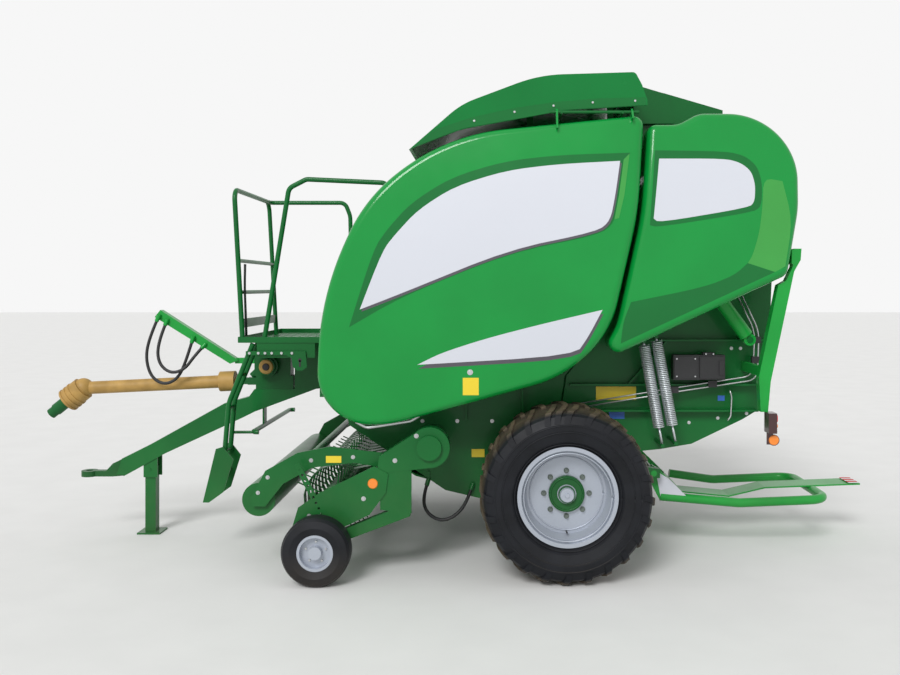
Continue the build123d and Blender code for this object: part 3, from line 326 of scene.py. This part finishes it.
def sweep(shape, route, radius, sides=8):
    """Adds a tube along a list of points to a bmesh, its ends closed."""
    rings = []
    lift = Vector((0, 1, 0))
    turns = [2 * math.pi * step / sides for step in range(sides)]
    for index, point in enumerate(route):
        before, after = route[max(index - 1, 0)], route[min(index + 1, len(route) - 1)]
        way = (Vector(after) - Vector(before)).normalized()
        side = way.cross(lift)
        if side.length < 0.1:
            side = way.cross(Vector((1, 0, 0)))
        side.normalize()
        lift = side.cross(way).normalized()
        spokes = [radius * (math.cos(turn) * side + math.sin(turn) * lift) for turn in turns]
        rings.append([shape.verts.new(Vector(point) + spoke) for spoke in spokes])
    for first, second in zip(rings, rings[1:]):
        for step in range(sides):
            after = (step + 1) % sides
            shape.faces.new((first[step], first[after], second[after], second[step]))
    shape.faces.new(rings[0][::-1])
    shape.faces.new(rings[-1])


def eased(route, bend=70, steps=7):
    """Open route with straight runs and each corner bent round."""
    places = [Vector(point) for point in route]
    smooth = [places[0]]
    for before, corner, after in zip(places, places[1:], places[2:]):
        back, on = before - corner, after - corner
        reach = min(bend, back.length * BEND_SHARE, on.length * BEND_SHARE)
        start, end = corner + back.normalized() * reach, corner + on.normalized() * reach
        for step in range(steps + 1):
            share = step / steps
            smooth.append((1 - share) ** 2 * start + 2 * share * (1 - share) * corner + share ** 2 * end)
    return smooth + [places[-1]]


def pipes(name, routes, radius, look, body, sides=8, bend=70):
    """One piece of bent pipes, each along its route."""
    shape = bmesh.new()
    for route in routes:
        sweep(shape, eased(route, bend), radius, sides)
    return from_bmesh(name, shape, look, body, smooth=True)


def hoop(shape, centre, radius, wire, steps=72):
    """Adds a thin ring round an axis along Y to a bmesh."""
    places = [Vector(centre) + Vector((math.cos(turn), 0, math.sin(turn))) * radius
              for turn in (2 * math.pi * step / steps for step in range(steps + 1))]
    sweep(shape, places, wire, sides=6)


# Camera, as the photograph was taken: from the machine's left, level

CAMERA_BEHIND_AXLE = -444
CAMERA_Y = -6920
CAMERA_Z = 1775
AXIS_PIXEL = (493, 287)
PICTURE_WIDE, PICTURE_HIGH = 900, 675
FOCAL_PIXELS = 954
SENSOR = 36
camera_data = bpy.data.cameras.new("camera")
camera_data.sensor_width = SENSOR
camera_data.lens = FOCAL_PIXELS / PICTURE_WIDE * SENSOR
camera_data.shift_x = (PICTURE_WIDE / 2 - AXIS_PIXEL[0]) / PICTURE_WIDE
camera_data.shift_y = (AXIS_PIXEL[1] - PICTURE_HIGH / 2) / PICTURE_WIDE
camera = bpy.data.objects.new("camera", camera_data)
camera.location = metres(CAMERA_BEHIND_AXLE, CAMERA_Y, CAMERA_Z)
camera.rotation_euler = (math.radians(90), 0, 0)
bpy.context.scene.collection.objects.link(camera)
bpy.context.scene.camera = camera

# Hydraulic hoses, along the same points as the frame's

HOSE_R = 11
# Name, body's length in millimetres, points
HOSES = [
    ("hose_long", 888, [(-2850, -97, 1530), (-2905, -100, 1400), (-2925, -104, 1260), (-2885, -106, 1130),
                        (-2790, -106, 1075), (-2695, -104, 1120), (-2640, -100, 1240), (-2600, -97, 1375)]),
    ("hose_short", 665, [(-2790, -97, 1500), (-2835, -118, 1370), (-2825, -135, 1235), (-2740, -140, 1160),
                         (-2640, -136, 1185), (-2570, -120, 1285), (-2530, -97, 1335)]),
    ("hose_under", 579, [(-880, -648, 470), (-905, -690, 385), (-870, -720, 300), (-780, -730, 255),
                         (-690, -720, 285), (-620, -690, 360), (-590, -648, 440)]),
]
for name, length, points in HOSES:
    curve = bpy.data.curves.new(f"{name}_line", "CURVE")
    curve.dimensions = "3D"
    curve.resolution_u = 24
    curve.bevel_depth = HOSE_R / 1000
    curve.bevel_resolution = 4
    curve.use_fill_caps = True
    spline = curve.splines.new("NURBS")
    spline.points.add(len(points) - 1)
    for place, point in zip(spline.points, points):
        place.co = (*metres(*point), 1)
    spline.order_u = 3
    spline.use_endpoint_u = True
    hose = settle(bpy.data.objects.new(f"{name}_rubber", curve), "hose_black", "chassis")
    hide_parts(name)

# White fields and their grey edges, with plates of painted shade and painted light in the recesses and round
# the rear fold: bare, as the machine carries no names

HOODS = {"left": "hood_left", "right": "hood_right"}
TAILGATE = {"left": "tailgate", "right": "tailgate"}
UPPER_FIELD = [(326, 2539), (-51, 2519), (-363, 2480), (-676, 2382), (-896, 2239), (-1027, 2096),
               (-1105, 1997), (-1243, 1640), (-1002, 1733), (-350, 1998), (183, 2109), (261, 2174),
               (294, 2331)]
# Painted shade: a darker plate where the recess round the upper field lies in shade
UPPER_RECESS_SHADE = [(388, 2590), (-40, 2576), (-375, 2537), (-700, 2436), (-940, 2280), (-1080, 2122),
                (-1160, 2003), (-1308, 1533), (-1002, 1712), (-350, 1978), (190, 2088), (285, 2158),
                (322, 2330)]
# Painted highlight where the bevel catches the light along the recess's rear end
UPPER_BEVEL_HIGHLIGHT = [(384, 2584), (348, 2548), (316, 2331), (286, 2182), (314, 2190), (348, 2330)]
LOWER_FIELD = [(213, 1638), (-171, 1548), (-496, 1463), (-757, 1378), (-899, 1307), (50, 1363), (128, 1476)]
# Painted shade: a darker plate where the recess round the rear field lies in shade
REAR_RECESS_SHADE = [(548, 2612), (985, 2606), (1100, 2576), (1172, 2508), (1196, 2400), (1186, 2262), (1122, 2228),
               (556, 2138), (508, 2150)]
REAR_FIELD = [(572, 2560), (974, 2560), (1069, 2534), (1131, 2482), (1153, 2398), (1146, 2294), (1110, 2258),
              (563, 2166), (531, 2190)]
# Painted shade: a darker plate below the rear panel's fold
REAR_FOLD_SHADE = [(391, 1684), (828, 1773), (1016, 1846), (1098, 1920), (1262, 1866), (330, 1432), (344, 1560)]
# Painted reflection of the sky: a lighter plate right of the rear fold
REAR_SKY_REFLECTION = [(1098, 1920), (1128, 1966), (1171, 2108), (1193, 2263), (1206, 2440), (1320, 2420),
              (1372, 2180), (1325, 1900), (1262, 1866)]
# Width of the grey edge that shows along a white field
EDGE = 12


def moved(outline, along, up):
    """Outline shifted as a whole."""
    return [(x + along, z + up) for x, z in outline]


# Outline, sharp corners, move along and up, finish, how far it stands out
HOOD_PLATES = [
    ("upper_recess_shade", UPPER_RECESS_SHADE, {0, 7}, 0, 0, "panel_painted_shade", 0.6),
    ("upper_bevel_highlight", UPPER_BEVEL_HIGHLIGHT, {0, 1, 2, 3, 4, 5}, 0, 0, "panel_painted_light", 1.2),
    ("upper_edge", UPPER_FIELD, {0, 7}, EDGE * 0.8, -EDGE * 1.1, "decal_grey", 1.8),
    ("upper_field", UPPER_FIELD, {0, 7}, 0, 0, "decal_white", 2.8),
    ("lower_edge", LOWER_FIELD, {0, 4}, EDGE * 0.5, -EDGE * 2, "decal_grey", 0.8),
    ("lower_field", LOWER_FIELD, {0, 4}, 0, 0, "decal_white", 1.8),
]
REAR_PLATES = [
    ("rear_fold_shade", REAR_FOLD_SHADE, {0, 3, 4, 5}, 0, 0, "panel_painted_shade", 0.6),
    ("rear_sky_reflection", REAR_SKY_REFLECTION, {0, 5, 7, 8}, 0, 0, "panel_painted_light", 0.6),
    ("rear_recess_shade", REAR_RECESS_SHADE, {0, 8}, 0, 0, "panel_painted_shade", 0.9),
    ("rear_field", REAR_FIELD, {0, 8}, 0, 0, "decal_white", 1.9),
]
for plates, out_y, bodies in ((HOOD_PLATES, HOOD_OUT_Y, HOODS), (REAR_PLATES, REAR_PANEL_OUT_Y, TAILGATE)):
    for name, outline, sharp, along, up, look, proud in plates:
        crowned_plates(name, moved(softened(outline, sharp), along, up), out_y, bodies, look,
                       proud)
crowned_plates("hood_sticker", rectangle(-626, -530, 1122, 1228), HOOD_OUT_Y, HOODS, "sticker_yellow",
               proud=1.2, thick=2.0)

# Blank stickers on the left walls: body, finish, x low, x high, z low, z high
STICKERS = [
    ("tailgate", "sticker_yellow", 236, 500, 1030, 1118),
    ("tailgate", "sticker_blue", 322, 424, 905, 950),
    ("tailgate", "sticker_blue", 1040, 1085, 1024, 1058),
    ("chassis", "sticker_yellow", -585, -500, 652, 705),
]
for index, (body, look, x_low, x_high, z_low, z_high) in enumerate(STICKERS):
    shape = bmesh.new()
    slab(shape, rectangle(x_low, x_high, z_low, z_high), -WALL_OUT_Y - 1.6, -WALL_OUT_Y + 0.5)
    from_bmesh(f"sticker_{index}", shape, look, body)

# Main wheels: nuts, hub cap, rolled edges, tyre rings and valve

NUTS = 8
NUT_PCD_R = 137.5
# Washer, nut and stud end: radius, depth, sides, top radius where it isn't a bolt head's
NUT_PARTS = [(17, 4, 20, 17), (14, 20, 6, None), (7, 28, 12, None)]
HUB_CAP_OUT = 60
HUB_FACE_OUT = 32
# Radius, distance from the machine's middle
RIM_ROLLS = [(222, DISC_Y + 2), (262, 1268), (289, 1268)]
TYRE_RINGS = [(318, 1287), (392, 1318), (432, 1319)]
# Distance out of the disc, height above the axle
VALVE = [(2, -230), (30, -232), (55, -226)]
for side_name, side in SIDES:
    body = f"wheel_{side_name}"
    out = (0, side, 0)
    shape = bmesh.new()
    for index in range(NUTS):
        turn = 2 * math.pi * index / NUTS
        place = (NUT_PCD_R * math.cos(turn), side * DISC_Y, AXLE_Z + NUT_PCD_R * math.sin(turn))
        for radius, depth, sides, top in NUT_PARTS:
            ring(shape, place, out, radius, depth, sides, top)
    from_bmesh(f"wheel_nuts_{side_name}", shape, "zinc_dark", body)
    shape = bmesh.new()
    cap_y = DISC_Y + HUB_CAP_OUT
    ring(shape, (0, side * (cap_y - 1), AXLE_Z), out, 46, 12, sides=40, top=40)
    ring(shape, (0, side * (cap_y + 10), AXLE_Z), out, 16, 10)
    hoop(shape, (0, side * (DISC_Y + HUB_FACE_OUT), AXLE_Z), 54, 4, steps=48)
    from_bmesh(f"hub_cap_{side_name}", shape, "rim_silver", body)
    shape = bmesh.new()
    hoop(shape, (0, side * (DISC_Y + HUB_FACE_OUT - 1), AXLE_Z), 98, 6, steps=60)
    from_bmesh(f"hub_rim_{side_name}", shape, "hub_green", body, smooth=True)
    shape = bmesh.new()
    for radius, out_y in RIM_ROLLS:
        hoop(shape, (0, side * out_y, AXLE_Z), radius, 4)
    from_bmesh(f"rim_rolls_{side_name}", shape, "rim_silver", body, smooth=True)
    shape = bmesh.new()
    for radius, out_y in TYRE_RINGS:
        hoop(shape, (0, side * out_y, AXLE_Z), radius, 3.5, steps=96)
    from_bmesh(f"tyre_rings_{side_name}", shape, "small_tyre", body, smooth=True)
    route = [(0, side * (DISC_Y + reach), AXLE_Z + above) for reach, above in VALVE]
    pipes(f"valve_{side_name}", [route], 5, "black_plastic", body, bend=12)

# Gauge wheels' bolts

GAUGE_X = -1494
GAUGE_Z = 205
GAUGE_FACE_Y = 1261
GAUGE_BOLTS = 5
GAUGE_PCD_R = 62
GAUGE_FIRST_TURN = 0.3
for side_name, side in SIDES:
    shape = bmesh.new()
    for index in range(GAUGE_BOLTS):
        turn = 2 * math.pi * index / GAUGE_BOLTS + GAUGE_FIRST_TURN
        place = (GAUGE_X + GAUGE_PCD_R * math.cos(turn), side * GAUGE_FACE_Y,
                 GAUGE_Z + GAUGE_PCD_R * math.sin(turn))
        ring(shape, place, (0, side, 0), 8, 10)
    from_bmesh(f"gauge_bolts_{side_name}", shape, "steel", f"gauge_{side_name}")

# Tailgate's coil springs, each with its eye rods

# Top x, z, foot x, z
SPRING_PINS = [(512, 1432, 633, 766), (591, 1461, 718, 781)]
SPRING_Y = 850
SPRING_R = 37
SPRING_TURNS = 46
WIRE_R = 4.2
STEPS_A_TURN = 14
# From the pins to the coil's ends, and to the ends of the rods, which reach into the coil
TOP_ROD = 30
FOOT_ROD = 120
PIN_R = 12.3
ROD_IN_COIL = 6
ROD_R = 8
shape = bmesh.new()
for side_name, side in SIDES:
    for top_x, top_z, foot_x, foot_z in SPRING_PINS:
        top = Vector((top_x, side * SPRING_Y, top_z))
        foot = Vector((foot_x, side * SPRING_Y, foot_z))
        way = (foot - top).normalized()
        beside = Vector((0, 1, 0))
        across = way.cross(beside).normalized()
        start = top + way * TOP_ROD
        end = foot - way * FOOT_ROD
        steps = SPRING_TURNS * STEPS_A_TURN
        route = []
        for step in range(steps + 1):
            turn = 2 * math.pi * step / STEPS_A_TURN
            route.append(start + (end - start) * step / steps
                         + (SPRING_R - WIRE_R) * (math.cos(turn) * across + math.sin(turn) * beside))
        sweep(shape, route, WIRE_R, sides=6)
        sweep(shape, [top + way * PIN_R, start + way * ROD_IN_COIL], ROD_R)
        sweep(shape, [end - way * ROD_IN_COIL, foot - way * PIN_R], ROD_R)
coils = from_bmesh("tailgate_coils", shape, "galvanised", "tailgate", smooth=True)
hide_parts("tailgate_springs")

# Steel hydraulic pipes and their clamps on the tailgate's left side

PIPE_R = 5
# Middles, x and z
PIPE_CLAMPS = [(1262, 1300), (1266, 1430), (730, 1104), (980, 1142)]
pipes("tailgate_pipes", [
    [(100, -700, 1012), (730, -700, 1116), (1250, -700, 1196), (1262, -700, 1488), (1157, -700, 1703)],
    [(100, -706, 986), (730, -706, 1090), (1276, -706, 1172), (1288, -706, 1486), (1180, -706, 1714)],
    [(1085, -700, 905), (1105, -700, 930), (1112, -700, 1060), (1100, -700, 1100)],
], PIPE_R, "steel", "tailgate")
shape = bmesh.new()
for x, z in PIPE_CLAMPS:
    slab(shape, rectangle(x - 22, x + 34, z - 20, z + 22), -713, -688)
from_bmesh("pipe_clamps", shape, "black_plastic", "tailgate")

# Lids, latch and screws of the black box beside them: x low, x high, z low, z high, outer y, inner y
BOX_LIDS = [
    (724, 870, 1186, 1327, -786, -779),
    (886, 1044, 1186, 1327, -792, -779),
    (1008, 1040, 1210, 1300, -800, -791),
    (912, 985, 1336, 1352, -770, -710),
]
BOX_SCREWS = [(738, 1200), (738, 1313), (856, 1200), (856, 1313), (925, 1344), (972, 1344)]
shape = bmesh.new()
for x_low, x_high, z_low, z_high, outer_y, inner_y in BOX_LIDS:
    slab(shape, rectangle(x_low, x_high, z_low, z_high), outer_y, inner_y)
from_bmesh("box_lids", shape, "black_plastic", "tailgate")
shape = bmesh.new()
for x, z in BOX_SCREWS:
    ring(shape, (x, -786, z), (0, -1, 0), 6, 4)
from_bmesh("box_screws", shape, "steel", "tailgate")

# Dark side flaps over the slit between the fixed lip and the tailgate's deflector
FLAP = [(474, 3092), (540, 3076), (640, 3046), (700, 3030), (735, 2840), (474, 2840)]
FLAP_Y = 696
FLAP_T = 5
shape = bmesh.new()
for side_name, side in SIDES:
    slab(shape, FLAP, side * FLAP_Y, side * (FLAP_Y + FLAP_T))
from_bmesh("deflector_flaps", shape, "frame_green", "chassis")

# Bracket along the deck's near side, with its bolts and its keyhole
BRACKET = [(-2100, 1345), (-1700, 1345), (-1690, 1240), (-1720, 1215), (-1755, 1215), (-1785, 1240),
           (-1795, 1300), (-1830, 1318), (-2100, 1318)]
BRACKET_Y = -530
BRACKET_T = 8
KEYHOLE_X = -1738
KEYHOLE_Z = 1285
KEYHOLE_T = 1.5
shape = bmesh.new()
slab(shape, BRACKET, BRACKET_Y, BRACKET_Y + BRACKET_T)
from_bmesh("deck_bracket", shape, "frame_green", "chassis")
shape = bmesh.new()
for x in (-2075, -2015, -1970, -1925, -1860, -1790):
    ring(shape, (x, BRACKET_Y, 1332), (0, -1, 0), 11, 8)
from_bmesh("deck_bolts", shape, "steel", "chassis")
shape = bmesh.new()
ring(shape, (KEYHOLE_X, BRACKET_Y, KEYHOLE_Z), (0, -1, 0), 12, KEYHOLE_T, sides=24, top=12)
slab(shape, rectangle(KEYHOLE_X - 6, KEYHOLE_X + 6, KEYHOLE_Z - 45, KEYHOLE_Z), BRACKET_Y - KEYHOLE_T,
     BRACKET_Y)
from_bmesh("deck_keyhole", shape, "black_plastic", "chassis")

# Studs of the deck, every other row half a pitch along
DECK_TOP_Z = 1409
STUD_PITCH = 60
shape = bmesh.new()
for x in range(-2110, -1540, STUD_PITCH):
    for y in range(-480, 760, STUD_PITCH):
        along = STUD_PITCH // 2 if y // STUD_PITCH % 2 else 0
        ring(shape, (x + along, y, DECK_TOP_Z), (0, 0, 1), 9, 3, sides=8)
from_bmesh("deck_studs", shape, "frame_green", "chassis")

# Pale plates at the front of the kicker
shape = bmesh.new()
for side_name, side in SIDES:
    slab(shape, [(664, 525), (752, 470), (872, 352), (852, 331), (697, 346)], side * 420, side * 423)
from_bmesh("kicker_plates", shape, "decal_white", "kicker")

# Tail lamps' lenses, round reflectors and the press arms' stickers

# Finish, z low, z high
LAMP_LENSES = [("lens_red", 950, 1004), ("lens_amber", 918, 946), ("lens_white", 891, 914)]
LAMP_X = 1275
LAMP_Y = 1100
LENS_HALF = 44
LENS_T = 6
# Name, body, x, y, z, depth
REFLECTORS = [
    ("tail_reflector", "tailgate", 1267, 1110, 842, 5),
    ("pickup_reflector", "pickup", -1174, SHIELD_OUT_Y, 581, 6),
]
for side_name, side in SIDES:
    middle = side * LAMP_Y
    for index, (look, z_low, z_high) in enumerate(LAMP_LENSES):
        shape = bmesh.new()
        corners = softened(rectangle(middle - LENS_HALF, middle + LENS_HALF, z_low, z_high))
        plate(shape, [(LAMP_X, y, z) for y, z in corners], [(LAMP_X + LENS_T, y, z) for y, z in corners])
        from_bmesh(f"lamp_lens_{side_name}_{index}", shape, look, "tailgate")
    for name, body, x, out_y, z, depth in REFLECTORS:
        shape = bmesh.new()
        ring(shape, (x, side * out_y, z), (0, side, 0), 31, depth, sides=36, top=27)
        from_bmesh(f"{name}_{side_name}", shape, "lens_amber", body)
    shape = bmesh.new()
    slab(shape, rectangle(-1475, -1380, 690, 732), side * PRESS_ARM_OUT_Y, side * (PRESS_ARM_OUT_Y + 1.5))
    from_bmesh(f"press_sticker_{side_name}", shape, "sticker_yellow", "press_frame")

# Red and white bars across the kicker's tail plate
BARS = 6
BAR_PITCH = 32
BAR_WIDE = 30
BARS_FROM_Y = -96
for index in range(BARS):
    start = BARS_FROM_Y + index * BAR_PITCH
    end = start + BAR_WIDE
    shape = bmesh.new()
    plate(shape, *([(2100, start, z), (2176, start, z), (2176, end, z), (2100, end, z)]
                   for z in (373.5, 375.5)))
    from_bmesh(f"kicker_chevron_{index}", shape, "sign_red" if index % 2 else "sign_white", "kicker")

# Bolt heads in rows on the side faces, each on its washer. The hood's row follows the crowned face.
# Name, body, face y, x, z, x step, z step, count, radius
BOLT_ROWS = [
    ("hood_screw", "hood", None, -582, 1262, 0, 0, 1, 11),
    ("wall_low", "chassis", WALL_OUT_Y, -1140, 890, 230, 0, 4, 8),
    ("wall_axle", "chassis", WALL_OUT_Y, -420, 560, 90, 0, 3, 10),
    ("tail_low", "tailgate", WALL_OUT_Y, 850, 880, 190, 30, 3, 7),
    ("tail_mid", "tailgate", WALL_OUT_Y, 1130, 1370, 60, 0, 2, 7),
    ("pickup_case", "pickup", 1124, -1040, 720, 130, 150, 2, 9),
    ("pickup_shield", "pickup", SHIELD_OUT_Y, -1560, 385, 330, 105, 2, 9),
    ("press_arm", "press_frame", PRESS_ARM_OUT_Y, -1895, 505, 60, 95, 2, 8),
    ("press_beam", "press_frame", PRESS_ARM_OUT_Y, -1567, 705, 259, 20, 2, 8),
]
WASHER_WIDER = 1.6
for name, body, face_y, x, z, x_step, z_step, count, radius in BOLT_ROWS:
    for side_name, side in SIDES:
        out = (0, side, 0)
        washer_r = radius * WASHER_WIDER
        shape = bmesh.new()
        for index in range(count):
            place_x, place_z = x + index * x_step, z + index * z_step
            reach = crown(place_z, HOOD_OUT_Y) if face_y is None else face_y
            ring(shape, (place_x, side * (reach - 0.5), place_z), out, washer_r, 2, sides=16, top=washer_r)
            ring(shape, (place_x, side * (reach + 1.5), place_z), out, radius, 6)
        rider = f"hood_{side_name}" if body == "hood" else body
        from_bmesh(f"bolts_{name}_{side_name}", shape, "steel", rider)

# Turned-in lower band of the top cover, drawn as a darker plate of painted shade, and its bolts
COVER_BAND_SHADE = [(-940, 2631), (-801, 2744), (-561, 2821), (-312, 2876), (-54, 2913), (213, 2935), (495, 2941),
              (500, 2896), (213, 2878), (0, 2864), (-150, 2836), (-340, 2803), (-640, 2748), (-800, 2686)]
COVER_BOLTS = [(-560, 2797), (-312, 2852), (-72, 2890), (169, 2910), (430, 2920)]
COVER_Y = 1050
BAND_T = 2
shape = bmesh.new()
for side_name, side in SIDES:
    slab(shape, COVER_BAND_SHADE, side * COVER_Y, side * (COVER_Y + BAND_T))
from_bmesh("cover_band_shade", shape, "panel_painted_shade", "chassis")
shape = bmesh.new()
for x, z in COVER_BOLTS:
    for side_name, side in SIDES:
        ring(shape, (x, side * (COVER_Y + BAND_T), z), (0, side, 0), 8, 5)
from_bmesh("cover_bolts", shape, "steel", "chassis")

# Thin cables down the handrail
pipes("rail_cables", [
    [(-2124, -470, 1930), (-2128, -462, 1760), (-2120, -470, 1600), (-2118, -462, 1445)],
    [(-2124, -440, 1930), (-2130, -432, 1780), (-2121, -440, 1610), (-2118, -430, 1445)],
], 5, "black_plastic", "chassis")

# Gearbox's side cap: name, finish, y, radius, depth, sides, top radius
GEARBOX_X = -2054
GEARBOX_Z = 1208
CAP_PARTS = [
    ("gearbox_cap", "guard_yellow", -150, 52, 10, 40, 46),
    ("gearbox_cap_middle", "black_plastic", -160, 26, 8, 30, 22),
]
for name, look, y, radius, depth, sides, top in CAP_PARTS:
    shape = bmesh.new()
    ring(shape, (GEARBOX_X, y, GEARBOX_Z), (0, -1, 0), radius, depth, sides, top)
    from_bmesh(name, shape, look, "chassis")

# Floor, light and backdrop

AMBIENT = 0.62
BACKDROP = 0.93
SUN_STRENGTH = 1.9
SUN_SPREAD = 22
SUN_TURN = (52, 8, -24)
# Metres
FLOOR_HALF = 60
floor_mesh = bpy.data.meshes.new("floor")
floor_mesh.from_pydata([(-FLOOR_HALF, -FLOOR_HALF, 0), (FLOOR_HALF, -FLOOR_HALF, 0),
                        (FLOOR_HALF, FLOOR_HALF, 0), (-FLOOR_HALF, FLOOR_HALF, 0)], [], [(0, 1, 2, 3)])
floor = bpy.data.objects.new("floor", floor_mesh)
bpy.context.scene.collection.objects.link(floor)
floor_mesh.materials.append(finish("floor_pale", (0.80, 0.80, 0.79), 0.80, mottle=0.015, bump=0.02))

world = bpy.data.worlds.new("studio")
bpy.context.scene.world = world
world.use_nodes = True
tree = world.node_tree
tree.nodes.clear()
ambient = tree.nodes.new("ShaderNodeBackground")
ambient.inputs["Color"].default_value = (1, 1, 1, 1)
ambient.inputs["Strength"].default_value = AMBIENT
backdrop = tree.nodes.new("ShaderNodeBackground")
backdrop.inputs["Color"].default_value = (BACKDROP, BACKDROP, BACKDROP, 1)
backdrop.inputs["Strength"].default_value = 1.0
path = tree.nodes.new("ShaderNodeLightPath")
# The backdrop shows to the camera, in what mirrors it and through glass. The ambient light does the rest.
seen = path.outputs["Is Camera Ray"]
for ray in ("Is Glossy Ray", "Is Transmission Ray"):
    either = tree.nodes.new("ShaderNodeMath")
    either.operation = "MAXIMUM"
    tree.links.new(seen, either.inputs[0])
    tree.links.new(path.outputs[ray], either.inputs[1])
    seen = either.outputs["Value"]
blend = tree.nodes.new("ShaderNodeMixShader")
tree.links.new(seen, blend.inputs["Fac"])
tree.links.new(ambient.outputs["Background"], blend.inputs[1])
tree.links.new(backdrop.outputs["Background"], blend.inputs[2])
out = tree.nodes.new("ShaderNodeOutputWorld")
tree.links.new(blend.outputs["Shader"], out.inputs["Surface"])

# One soft sun from the front left
key = bpy.data.lights.new("key", "SUN")
key.energy = SUN_STRENGTH
key.angle = math.radians(SUN_SPREAD)
key_light = bpy.data.objects.new("key", key)
key_light.rotation_euler = [math.radians(turn) for turn in SUN_TURN]
bpy.context.scene.collection.objects.link(key_light)

bpy.context.scene.view_settings.view_transform = "Standard"
